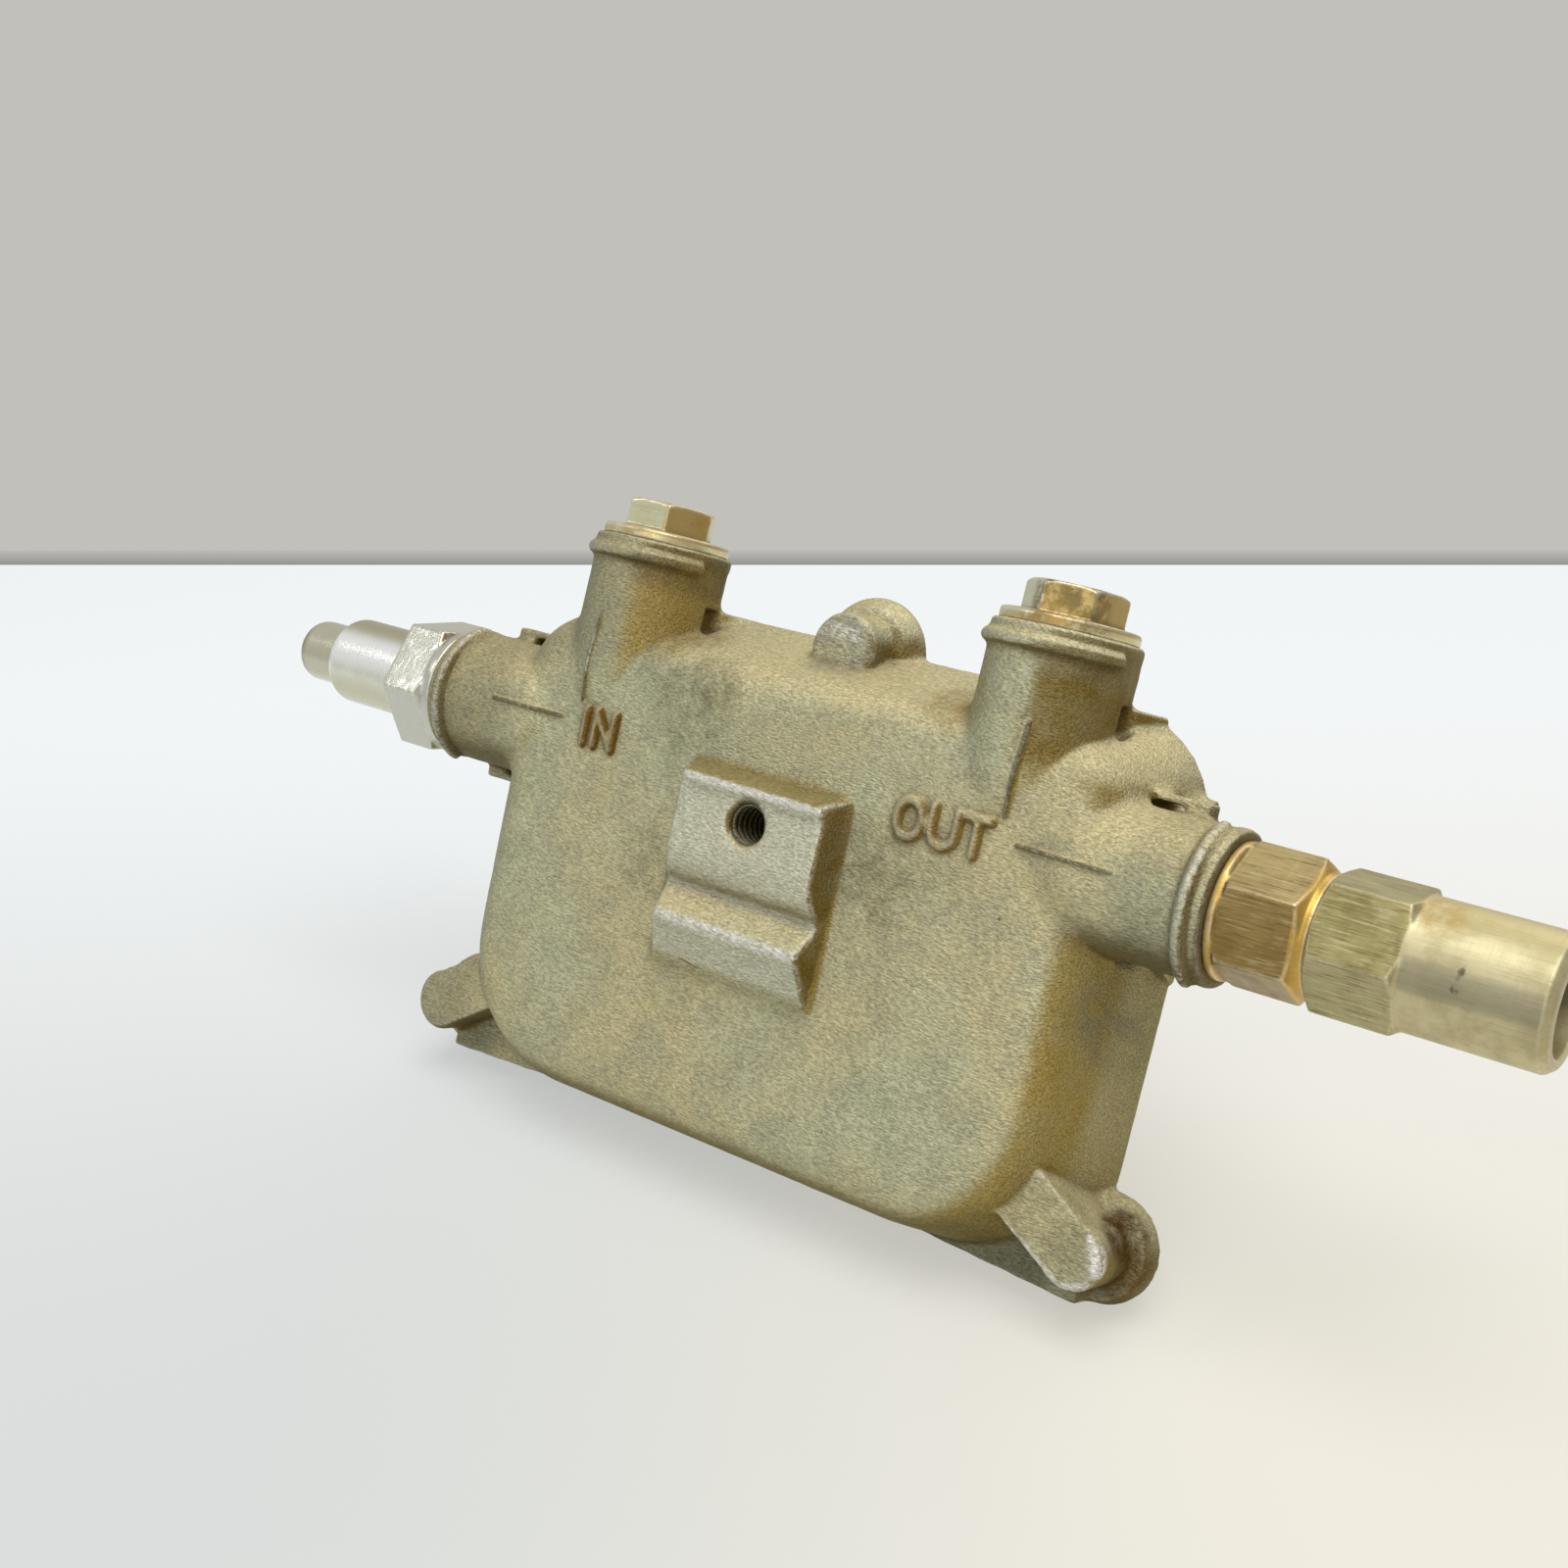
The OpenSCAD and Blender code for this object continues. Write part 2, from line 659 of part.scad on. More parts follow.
// The wound choke that carries line power past the coupler
module power_choke() in_place() color("chocolate") {
    turns = 9;
    wire_r = 0.75;
    translate([-turns * wire_r - 1.5, board_y - 4.5, -13]) rotate([0, 90, 0]) {
        cylinder(h = 2 * turns * wire_r + 3, r = 2.6, $fn = 32);
        for (i = [0:turns - 1])
            translate([0, 0, 1.5 + wire_r + 2 * i * wire_r]) rotate_extrude($fn = 32)
                translate([2.6, 0]) circle(wire_r + 0.05, $fn = 13);
        for (z = [0, 2 * turns * wire_r + 1.8])
            translate([-1.2, 0, z]) cube([2.4, 4.5, 1.2]);
    }
}

// Disc capacitors, standing on the board
module disc_capacitors() in_place() color("peru") {
    for (p = [[-30, -6], [30, -6], [-30, -18], [30, -18]])
        translate([p[0], board_y - 6, p[1]]) {
            rotate([0, 90, 0]) translate([0, 0, -1.1]) cylinder(h = 2.2, r = 4, $fn = 48);
            translate([-0.5, 2, -2.5]) cube([1, 4, 5]);
        }
}

// Small resistors lying on the board
module balance_resistors() in_place() color("tan") {
    for (p = [[-8, -41], [8, -41], [-32, -40], [32, -40]])
        translate([p[0] - 3.5, board_y - 1.6, p[1]]) {
            rotate([0, 90, 0]) cylinder(h = 7, r = 1.3, $fn = 32);
            for (x = [0.4, 5.8]) translate([x, 0, -0.4]) cube([0.8, 1.6, 0.8]);
        }
}

// A subscriber port: thread into the cover, hexagon, outer thread, open through
module tap_port(i) {
    translate([tap_places[i][0], 0, tap_places[i][1]]) difference() {
        union() {
            translate([0, cover_front - 4.8, 0]) along_y() cylinder(h = 6, r = tap_r, $fn = smooth);
            translate([0, tap_hex_y, 0]) along_y() hex_bar(11.1, tap_hex_t);
            translate([0, tap_hex_y + tap_hex_t - 0.5, 0]) along_y()
                cylinder(h = tap_thread, r = tap_r, $fn = smooth);
            translate([0, tap_end - 0.5, 0]) along_y()
                cylinder(h = 0.5, r1 = tap_r, r2 = tap_r - 0.5, $fn = smooth);
        }
        translate([0, cover_front - 8, 0]) along_y() cylinder(h = 40, r = 3.4, $fn = smooth);
    }
}

// The insulator in a subscriber port, with a narrower mouth for the centre wire
module tap_insulator(i) {
    back = cover_front - 4.8;
    translate([tap_places[i][0], back, tap_places[i][1]]) along_y() difference() {
        cylinder(h = tap_end - back - 0.5, r = 3.4 - play, $fn = 48);
        translate([0, 0, -1]) cylinder(h = tap_end - back - 1, r = 1.2, $fn = 32);
        cylinder(h = 40, r = 0.7, $fn = 32);
    }
}

// The spring contact of a subscriber port, from the board to the mouth
module tap_contact(i) {
    translate([tap_places[i][0], board_y - 0.8, tap_places[i][1]]) along_y() difference() {
        union() {
            cylinder(h = cover_front - board_y, r = 0.6, $fn = 32);
            translate([0, 0, cover_front - board_y - 3])
                cylinder(h = tap_end - cover_front + 1.6, r = 1.15, $fn = 32);
        }
        translate([0, 0, tap_end - board_y - 9]) cylinder(h = 10, r = 0.55, $fn = 32);
    }
}

module tap_port_1() in_place() color("lightsteelblue") tap_port(0);
module tap_port_2() in_place() color("lightsteelblue") tap_port(1);
module tap_port_3() in_place() color("lightsteelblue") tap_port(2);
module tap_port_4() in_place() color("lightsteelblue") tap_port(3);
module tap_insulator_1() in_place() color("white") tap_insulator(0);
module tap_insulator_2() in_place() color("white") tap_insulator(1);
module tap_insulator_3() in_place() color("white") tap_insulator(2);
module tap_insulator_4() in_place() color("white") tap_insulator(3);
module tap_contact_1() in_place() color("gold") tap_contact(0);
module tap_contact_2() in_place() color("gold") tap_contact(1);
module tap_contact_3() in_place() color("gold") tap_contact(2);
module tap_contact_4() in_place() color("gold") tap_contact(3);

// A turned ring or tube along +Z, from one station to another
module tube(from, to, outer, inner, fn = 64) {
    translate([0, 0, from]) difference() {
        cylinder(h = to - from, r = outer, $fn = fn);
        if (inner > 0) translate([0, 0, -1]) cylinder(h = to - from + 2, r = inner, $fn = fn);
    }
}

// The connector's entry body: threaded nose, flange, hexagon, neck and rear thread
module connector_body() in_place() color("darkgoldenrod") along_x(1) difference() {
    union() {
        translate([0, 0, side_port_x - nose_len]) cylinder(h = nose_len, r = bore_r - play, $fn = smooth);
        translate([0, 0, side_port_x]) cylinder(h = 1.2, r = 10.4, $fn = smooth);
        translate([0, 0, hex_1_x]) rotate([0, 0, 10]) hex_bar(connector_hex_af, neck_x - hex_1_x, 1, 1);
        translate([0, 0, neck_x]) cylinder(h = hex_2_x - neck_x, r = 9.2, $fn = smooth);
        translate([0, 0, hex_2_x])
            cylinder(h = nut_thread_end - hex_2_x, r = nut_thread_r - play, $fn = smooth);
    }
    translate([0, 0, 60]) cylinder(h = 20, r = 3.2, $fn = smooth);
    translate([0, 0, 72]) cylinder(h = 40, r = 5.5, $fn = smooth);
    translate([0, 0, 82]) cylinder(h = 30, r = 7, $fn = smooth);
}

// The back nut: hexagon and barrel, threaded inside, with the opening for the cable
module connector_nut() in_place() color("tan") along_x(1) difference() {
    union() {
        translate([0, 0, hex_2_x]) rotate([0, 0, 43.5]) hex_bar(connector_hex_af, barrel_x - hex_2_x, 1, 1);
        translate([0, 0, barrel_x - 1])
            cylinder(h = barrel_end_x - barrel_x - 0.3, r = barrel_r, $fn = smooth);
        translate([0, 0, barrel_end_x - 1.3])
            cylinder(h = 1.3, r1 = barrel_r, r2 = barrel_r - 1.1, $fn = smooth);
    }
    translate([0, 0, hex_2_x - 1]) cylinder(h = clamp_ring_x - hex_2_x + 1, r = nut_thread_r, $fn = smooth);
    translate([0, 0, clamp_ring_x]) cylinder(h = cable_seal_end - clamp_ring_x, r = 8.4, $fn = smooth);
    translate([0, 0, 100]) cylinder(h = 40, r = cable_r, $fn = smooth);
}

module connector_seal() in_place() color("dimgray") along_x(1) port_seal(side_port_x);

// The centre pin, which reaches the seizure post, and the collet behind it
module connector_pin() in_place() color("gold") along_x(1) difference() {
    union() {
        translate([0, 0, port_x - 2]) cylinder(h = 40, r = pin_r, $fn = 48);
        translate([0, 0, 75]) cylinder(h = 22, r = 2.3, $fn = 48);
    }
    translate([0, 0, 82]) cylinder(h = 20, r = 1.5, $fn = 48);
    translate([-3, -0.25, 84]) cube([6, 0.5, 20]);
}

module front_insulator() in_place() color("white") along_x(1) difference() {
    tube(72, 78, 5.5 - play, pin_r + play);
    translate([0, 0, 75]) cylinder(h = 10, r = 2.3 + play, $fn = smooth);
}

module rear_insulator() in_place() color("white") along_x(1) tube(87, 92, 4.9 - play, 2.3 + play);

// The sleeve that stands inside the cable's outer tube
module cable_sleeve() in_place() color("silver") along_x(1) difference() {
    union() {
        translate([0, 0, 82]) cylinder(h = 2, r = 7 - play, $fn = smooth);
        translate([0, 0, 82]) cylinder(h = 20, r = 5.6, $fn = smooth);
    }
    translate([0, 0, 80]) cylinder(h = 24, r = 4.9, $fn = smooth);
}

// The split ring that grips the cable's outer tube
module clamp_ring() in_place() color("goldenrod") along_x(1) difference() {
    tube(clamp_ring_x, clamp_ring_end, 8.4 - play, 6.45);
    translate([-0.6, 0, 90]) cube([1.2, 12, 20]);
}

module cable_seal() in_place() color("dimgray") along_x(1)
    tube(clamp_ring_end, cable_seal_end, 8.4 - play, cable_r);

// A turned bar along +Z, its far edge rounded
module rounded_end(r, from, to, edge) {
    translate([0, 0, from]) rotate_extrude($fn = smooth)
        polygon(concat([[0, 0], [r, 0]],
                       [for (a = [0:15:90]) [r - edge + edge * cos(a), to - from - edge + edge * sin(a)]],
                       [[0, to - from]]));
}

// The terminator's body: threaded nose, collar, hexagon and round housing
module terminator_body() in_place() color("gainsboro") along_x(-1) difference() {
    union() {
        translate([0, 0, side_port_x - nose_len]) cylinder(h = nose_len, r = bore_r - play, $fn = smooth);
        translate([0, 0, side_port_x]) cylinder(h = collar_end - side_port_x, r = 11.5, $fn = smooth);
        translate([0, 0, collar_end]) rotate([0, 0, 20]) hex_bar(terminator_hex_af, 9, 0, 1);
        rounded_end(terminator_r, terminator_hex_end - 1, terminator_shoulder, 2.2);
    }
    translate([0, 0, 60]) cylinder(h = 20, r = 3.2, $fn = smooth);
    translate([0, 0, 72]) cylinder(h = 26, r = 5.4, $fn = smooth);
    translate([0, 0, 90]) cylinder(h = 30, r = 4.4, $fn = smooth);
}

// The cap that closes the terminator
module terminator_cap() in_place() color("gainsboro") along_x(-1) {
    translate([0, 0, 100]) cylinder(h = terminator_shoulder - 99.5, r = 4.4 - play, $fn = smooth);
    rounded_end(5.8, terminator_shoulder, terminator_end_x, 2.6);
}

module terminator_seal() in_place() color("dimgray") along_x(-1) port_seal(side_port_x);

module terminator_pin() in_place() color("gold") along_x(-1)
    translate([0, 0, port_x - 2]) cylinder(h = 45, r = pin_r, $fn = 48);

module terminator_insulator() in_place() color("white") along_x(-1) tube(72, 78, 5.4 - play, pin_r + play);

module terminator_resistor() in_place() color("sienna") along_x(-1) {
    translate([0, 0, 83]) cylinder(h = 12, r = 2.2, $fn = 48);
    translate([0, 0, 95]) cylinder(h = 5, r = 0.4, $fn = 24);
}

back_housing();
face_plate();
weather_gasket();
rf_gasket();
plate_bolts();
port_plug_left();
port_plug_right();
plug_seal_left();
plug_seal_right();
seizure_base_left();
seizure_base_right();
seizure_post_left();
seizure_post_right();
seizure_screw_left();
seizure_screw_right();
circuit_board();
board_screws();
board_pin_in();
board_pin_out();
coupler_core();
splitter_core_1();
splitter_core_2();
splitter_core_3();
power_choke();
disc_capacitors();
balance_resistors();
tap_port_1();
tap_port_2();
tap_port_3();
tap_port_4();
tap_insulator_1();
tap_insulator_2();
tap_insulator_3();
tap_insulator_4();
tap_contact_1();
tap_contact_2();
tap_contact_3();
tap_contact_4();
connector_body();
connector_nut();
connector_seal();
connector_pin();
front_insulator();
rear_insulator();
cable_sleeve();
clamp_ring();
cable_seal();
terminator_body();
terminator_cap();
terminator_seal();
terminator_pin();
terminator_insulator();
terminator_resistor();
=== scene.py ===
"""The looks of an outdoor line tap: a cast housing, turned fittings and a soft studio."""

import json
import math
from types import SimpleNamespace

import bmesh
import bpy
import numpy as np
from mathutils import Matrix, Vector


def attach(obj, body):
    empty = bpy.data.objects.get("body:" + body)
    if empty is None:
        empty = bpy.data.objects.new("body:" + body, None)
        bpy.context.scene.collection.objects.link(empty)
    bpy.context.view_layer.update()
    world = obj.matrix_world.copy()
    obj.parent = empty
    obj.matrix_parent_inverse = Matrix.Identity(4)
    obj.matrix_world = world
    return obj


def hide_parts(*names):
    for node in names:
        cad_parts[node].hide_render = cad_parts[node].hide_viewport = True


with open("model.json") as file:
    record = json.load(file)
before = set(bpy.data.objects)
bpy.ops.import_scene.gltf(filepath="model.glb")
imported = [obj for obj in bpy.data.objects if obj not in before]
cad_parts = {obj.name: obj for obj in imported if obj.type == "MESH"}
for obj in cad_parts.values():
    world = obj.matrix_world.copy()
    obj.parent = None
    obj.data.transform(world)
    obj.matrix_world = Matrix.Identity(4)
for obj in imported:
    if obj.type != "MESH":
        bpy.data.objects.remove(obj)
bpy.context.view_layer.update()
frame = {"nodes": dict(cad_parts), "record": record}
nodes = frame["nodes"]

MM = 0.001
# Lengths below are in millimetres, and places in the port frame, unless a comment says otherwise.
# The port frame's origin, midway between the side ports, in the part's frame
PORT_ORIGIN = Vector((0, 9.8, 7.2))
# The housing's flat face, its joint with the cover, and the upper ports' axes
FACE_Y = -9.8
JOINT_Y = 12.0
PORT_X = 40

# The cover's subscriber ports
TAP_X = 18
TAP_MIDDLE_Z, TAP_HALF_Z = -32.5, 13
TAP_PITCH = 0.79

# Where the entry plugs' hexagons start
PLUG_HEX_Z = 34.9

# The clamp pad: half its width, its lower end, its upper end
PAD_HALF, PAD_LOW, PAD_HIGH = 17, -34, 2
# The lower right bolt boss and the upper one
LOW_BOSS_X, LOW_BOSS_Z = 65.8, -55.9
TOP_BOSS_Z = 23.7

# Colours of the casting's film, as 0 to 255 values
FILM_GREEN = (186, 185, 152)
FILM_YELLOW = (194, 184, 143)
FILM_GREY = (160, 160, 136)
# Painted shade and light by the way a surface faces: brown, ochre, amber, side and end tones for
# right-facing flanks, a grey for left-facing sides, a pale top light for upward slopes and a dark tone for
# undersides
SHADE_BROWN = (114, 90, 24)
SHADE_OCHRE = (152, 130, 64)
SHADE_AMBER = (178, 156, 90)
SHADE_SIDE = (170, 158, 114)
SHADE_END = (122, 106, 66)
SHADE_LEFT = (161, 164, 141)
TOP_LIGHT = (218, 203, 156)
SHADE_UNDER = (104, 92, 52)
FILM_PAD = (206, 206, 186)
WEAR_GREY = (222, 220, 212)
SPECK_DARK = (72, 62, 36)
RECESS_BROWN = (88, 62, 24)
SCRATCH_GREY = (98, 92, 78)
LETTER_FACE = (142, 114, 52)
# Painted shade on the letters' right-facing flanks and a painted highlight on their upper left rims
LETTER_FLANK_SHADE = (104, 78, 24)
LETTER_RIM_HIGHLIGHT = (206, 200, 168)
LINE_DARK = (88, 80, 48)

# Colours of the fittings' marks, and how metallic the fittings are
STREAK_LIGHT = (232, 224, 190)
MARK_DARK = (120, 112, 90)
DENT_LIGHT = (252, 252, 250)
DENT_DARK = (168, 164, 148)
EDGE_LIGHT = (238, 232, 212)
# Painted shade in the fittings' inner corners
CREVICE_SHADE = (112, 84, 40)
METAL_SHARE = 0.7

# Plain finishes: slot, name, colour, metallic share, roughness, sometimes grain scale and bump
PLAIN_FINISHES = (
    ("seal_rubber", "rubber", (40, 40, 40), 0.0, 0.7),
    ("wire_mesh", "mesh", (150, 150, 145), 0.8, 0.5, 1500, 0.6),
    ("bolt_steel", "steel", (190, 190, 184), 0.9, 0.32),
    ("white_insulator", "nylon", (226, 222, 208), 0.0, 0.45),
    ("brass", "brass", (206, 170, 92), 0.9, 0.3),
    ("tin_plate", "tin", (206, 204, 196), 0.9, 0.28),
    ("board", "board", (52, 112, 66), 0.0, 0.4),
    ("ferrite", "ferrite", (66, 64, 64), 0.0, 0.55),
    ("enamelled_wire", "wire", (160, 84, 40), 0.4, 0.3),
    ("ceramic", "ceramic", (184, 128, 70), 0.0, 0.35),
)

# How fine the noises are, per metre
CLOUD_SCALE, PATCH_SCALE = 34, 130
GRAIN_SCALE, FINE_SCALE, SPECK_SCALE = 3300, 3600, 620
RING_SCALE, STREAK_SCALE, FLECK_SCALE = 2600, 3300, 1300
# How the casting's grain leans, in radians
LEAN = (0, 0.3, 0)

# Stains on the casting, and painted shade in the lower right lug's hollow: place, radius, soft rim, colour,
# strength
CAST_STAINS_AND_SHADE = (
    ((56.5, 2.0, -21), 4, 6, (118, 116, 96), 0.75),
    ((28.0, -4.0, 22), 5, 6, (150, 120, 58), 0.7),
    ((-30.0, -4.0, 24), 6, 6, (150, 124, 62), 0.7),
    ((45.0, -9.8, -10.2), 0.45, 0.3, (50, 42, 28), 1.0),
    ((44.8, -9.8, -11.7), 0.3, 0.3, (50, 42, 28), 1.0),
    ((-15.4, -9.8, 12.8), 2, 5, (126, 120, 84), 0.3),
    ((27.2, -9.8, -1.4), 2, 5, (126, 120, 84), 0.3),
    ((34.2, -9.8, -7.4), 2, 5, (130, 122, 82), 0.3),
    ((63.0, 5.0, -25.1), 3, 5, (112, 108, 84), 0.35),
    ((75.5, 5.5, -51), 3.2, 2.0, (132, 124, 92), 0.85),
    ((61, -2.2, -54), 5, 4, (138, 128, 90), 0.55),
    ((0, 0.6, 24), 4.5, 3, (158, 156, 140), 0.7),
    ((-19, -9.8, 9), 5, 7, (118, 116, 88), 0.6),
    ((22, -9.8, -10), 4, 8, (122, 116, 84), 0.6),
    ((-21, -9.8, -19), 3, 6, (130, 128, 100), 0.5),
    ((56, -4, -8), 2.5, 3, (84, 76, 52), 0.6),
    # Painted shade in the hollow between the lower right lug's boss and its ear
    ((70.5, 5.5, -51.5), 3.4, 2.0, (84, 56, 20), 1.0),
    ((73, 6.5, -56.5), 2.8, 2.0, (98, 70, 28), 0.95),
    ((71, 6.5, -61), 2.4, 2.0, (104, 80, 40), 0.8),
)

# Fine scratches on the casting: ends, width
CAST_SCRATCHES = (
    ((-9, -9.6, -36.0), (4, -9.5, -37.2), 0.5),
    ((-2, -9.6, -35.2), (9, -9.5, -36.0), 0.4),
    ((-12.5, -10.4, -31.0), (-5.5, -10.2, -32.6), 0.3),
    ((20, -9.8, -8.0), (27, -9.8, -12.5), 0.35),
)

# Ragged bright wear along the edges that rub, and a painted highlight along the clamp pad's lower ledge:
# ends, width, strength
CAST_WORN_AND_HIGHLIGHT = (
    ((-12.6, -15.6, -1.9), (11.6, -15.6, -1.9), 1.1, 0.95),
    ((-13.0, -14.0, -25.3), (12.0, -14.0, -25.3), 1.3, 0.9),
    # A painted highlight along the ledge below the clamp pad's groove
    ((-11.5, -10.5, -20.3), (12.0, -10.5, -20.3), 0.4, 0.7),
    ((54.5, -2.5, -54.7), (65.4, -1.8, -60.9), 0.9, 0.85),
    ((65.4, -1.8, -61.0), (69.8, -1.8, -59.6), 1.2, 0.85),
    ((70.2, -1.8, -54.6), (70.9, -1.6, -56.4), 2.4, 1.0),
    ((70.6, -1.7, -57.0), (68.4, -1.8, -52.4), 1.0, 0.9),
    ((-4.5, 0.6, 26.6), (2.4, 0.6, 26.2), 1.7, 0.6),
    ((-3.5, 0.6, 19.4), (2.0, 0.6, 19.2), 1.2, 0.6),
    ((40.6, -12.3, 27.0), (41.7, -12.3, 21.5), 1.0, 0.9),
    ((-41.4, -12.4, 11.5), (-41.2, -12.4, 19.4), 0.8, 0.95),
)

# The photograph's camera
PHOTO_SIZE = 1600
FOCAL_PIXELS = 2073.19
SENSOR_MM = 36
CAMERA_PLACE = Vector((181.6, -280.4, 21.5))
CAMERA_RIGHT = Vector((0.8019, 0.5497, 0.2341))
CAMERA_UP = Vector((-0.2304, -0.0770, 0.9700))
CAMERA_BACK = Vector((0.5513, -0.8318, 0.0649))

# Colours of the wall behind and of the table, left (darker, as painted shade), right and far off
BACKDROP = (193, 192, 187)
FLOOR_LEFT_SHADE = (217, 220, 218)
FLOOR_RIGHT = (238, 234, 222)
FLOOR_FAR = (244, 247, 248)
# The share of its own plain colour that the table shows to the camera, over its shading
FLOOR_LIFT = 0.6
# How high over the picture's middle the table ends, in pixels, and the painted shadow along the joint behind
# it, in metres
TABLE_END_PIXELS = 224
TABLE_JOINT = 0.0049
JOINT_SHADOW = (150, 149, 146)
# The table's radius, in metres, and the steps of its mesh
TABLE_RADIUS, TABLE_RINGS, TABLE_SECTORS = 1.2, 24, 96
WORLD_LIGHT = 0.45
# Each lamp's name, direction, distance, width, power and aim, in metres and watts
LAMPS = (
    ("key", (0.18, -0.54, 0.82), 0.9, 0.75, 4.8, (0, 0, 0)),
    ("fill", (0.1, -1.0, 0.1), 1.2, 0.8, 2.0, (0, 0, 0)),
    ("back", (0.0, 0.5, 0.95), 1.2, 0.8, 1.8, (0, 0, 0)),
    ("glint", (-0.55, -0.705, 0.42), 0.9, 0.16, 0.5, (-0.1, 0, 0)),
)

# Up in the photograph's room, where the tap leans back
ROOM_UP = Vector((0, -0.423, 0.906))

HOUSING_VOXEL = 0.34
COVER_VOXEL = 0.5
FITTING_VOXEL = 0.24
HOUSING_TRIANGLES = 190000
COVER_TRIANGLES = 80000
FITTING_TRIANGLES = 60000
FITTING_ROUNDS = 3
# The waviness of the cast surfaces
CAST_WAVE = 0.012
# Rounds of softening that the clamp pad's edges take
PAD_ROUNDS = 7
# How far the casting's fillets reach
FILLET_REACH = 2.3
# Raised letters and lines: width at the foot, width at the top and height
LETTER_RIDGE = (1.9, 0.85, 0.8)
LINE_RIDGE = (0.85, 0.4, 0.5)
# From which curvature on an outer edge keeps its shape, and over what range, in steps of the mesh
CRISP_START = 0.02
CRISP_RANGE = 0.04


# Small helpers

def port_point(x, y, z):
    """A point given in millimetres of the port frame, in metres of the part's frame."""
    return (Vector((x, y, z)) + PORT_ORIGIN) * MM


def linear(red, green, blue):
    """A colour written as 0 to 255 values, as the linear colour that Blender takes."""
    def channel(value):
        value /= 255
        return value / 12.92 if value <= 0.04045 else ((value + 0.055) / 1.055) ** 2.4
    return (channel(red), channel(green), channel(blue), 1.0)


class Nodes:
    """Builds a node tree in plain calls, over the surface's point and normal in the object's axes."""

    def __init__(self, tree):
        self.tree = tree
        tree.nodes.clear()
        coordinates = self.add("ShaderNodeTexCoord")
        self.where, self.normal = coordinates.outputs["Object"], coordinates.outputs["Normal"]

    def add(self, kind, inputs=None, **settings):
        node = self.tree.nodes.new(kind)
        for name, value in settings.items():
            setattr(node, name, value)
        for name, value in (inputs or {}).items():
            socket = node.inputs[name]
            if isinstance(value, bpy.types.NodeSocket):
                self.tree.links.new(value, socket)
            else:
                socket.default_value = value
        return node

    def mix(self, factor, low, high):
        """Blends two colours, linear ones or triples of 0 to 255 values."""
        node = self.add("ShaderNodeMix", data_type="RGBA")
        for index, value in ((0, factor), (6, low), (7, high)):
            if isinstance(value, tuple) and len(value) == 3:
                value = linear(*value)
            if isinstance(value, bpy.types.NodeSocket):
                self.tree.links.new(value, node.inputs[index])
            else:
                node.inputs[index].default_value = value
        return node.outputs[2]

    def math(self, operation, first, second=0.0, clamp=False):
        node = self.add("ShaderNodeMath", {0: first, 1: second}, operation=operation, use_clamp=clamp)
        return node.outputs[0]

    def product(self, first, *others):
        for other in others:
            first = self.math("MULTIPLY", first, other)
        return first

    def paint(self, colour, shade, *masks):
        """Lays a shade over a colour where all the masks are one."""
        return self.mix(self.product(*masks), colour, shade)

    def measure(self, operation, first, second=(0, 0, 0)):
        """A vector operation that gives a plain number."""
        node = self.add("ShaderNodeVectorMath", {0: first, 1: second}, operation=operation)
        return node.outputs["Value"]

    def axes(self):
        return self.add("ShaderNodeSeparateXYZ", {0: self.where}).outputs[:3]

    def scale(self, colour, amount):
        return self.add("ShaderNodeVectorMath", {0: colour, "Scale": amount}, operation="SCALE").outputs[0]

    def ramp(self, value, low, high, bottom=0.0, top=1.0, smooth=True):
        kind = "SMOOTHSTEP" if smooth else "LINEAR"
        inputs = {"Value": value, "From Min": low, "From Max": high, "To Min": bottom, "To Max": top}
        return self.add("ShaderNodeMapRange", inputs, interpolation_type=kind).outputs["Result"]

    def mm_ramp(self, value, low, high, bottom=0.0, top=1.0):
        return self.ramp(value, low * MM, high * MM, bottom, top)

    def noise(self, scale, detail=3.0, rough=0.55, stretch=None, turn=(0, 0, 0)):
        vector = self.where
        if stretch:
            inputs = {"Vector": vector, "Scale": stretch, "Rotation": turn}
            vector = self.add("ShaderNodeMapping", inputs).outputs[0]
        inputs = {"Vector": vector, "Scale": scale, "Detail": detail, "Roughness": rough}
        return self.add("ShaderNodeTexNoise", inputs).outputs["Fac"]

    def attribute(self, name):
        return self.add("ShaderNodeAttribute", attribute_name=name).outputs["Fac"]

    def facing(self, direction, low, high, most=1.0):
        """How squarely a surface faces a direction, as a smooth step between two cosines."""
        cosine = self.measure("DOT_PRODUCT", self.normal, Vector(direction).normalized())
        return self.ramp(cosine, low, high, 0, most)

    def spot(self, place, radius, soft):
        """A round mark about a point of the port frame, with a soft rim."""
        away = self.measure("DISTANCE", self.where, port_point(*place))
        return self.mm_ramp(away, radius + soft, radius)

    def scratch(self, start, end, width):
        """A thin mark from one point of the port frame to another."""
        first, last = port_point(*start), port_point(*end)
        length = (last - first).length
        way = (last - first) / length
        offset = self.add("ShaderNodeVectorMath", {0: self.where, 1: first}, operation="SUBTRACT").outputs[0]
        run = self.math("MAXIMUM", self.measure("DOT_PRODUCT", offset, way), 0.0)
        run = self.math("MINIMUM", run, length)
        return self.mm_ramp(self.measure("DISTANCE", offset, self.scale(way, run)), width, 0.3 * width)

    def band(self, along, start, end, soft=0.25):
        """One between two stations, none outside them."""
        return self.product(self.mm_ramp(along, start - soft, start + soft),
                            self.mm_ramp(along, end + soft, end - soft))


def new_material(name):
    material = bpy.data.materials.new(name)
    material.use_nodes = True
    return material, Nodes(material.node_tree)


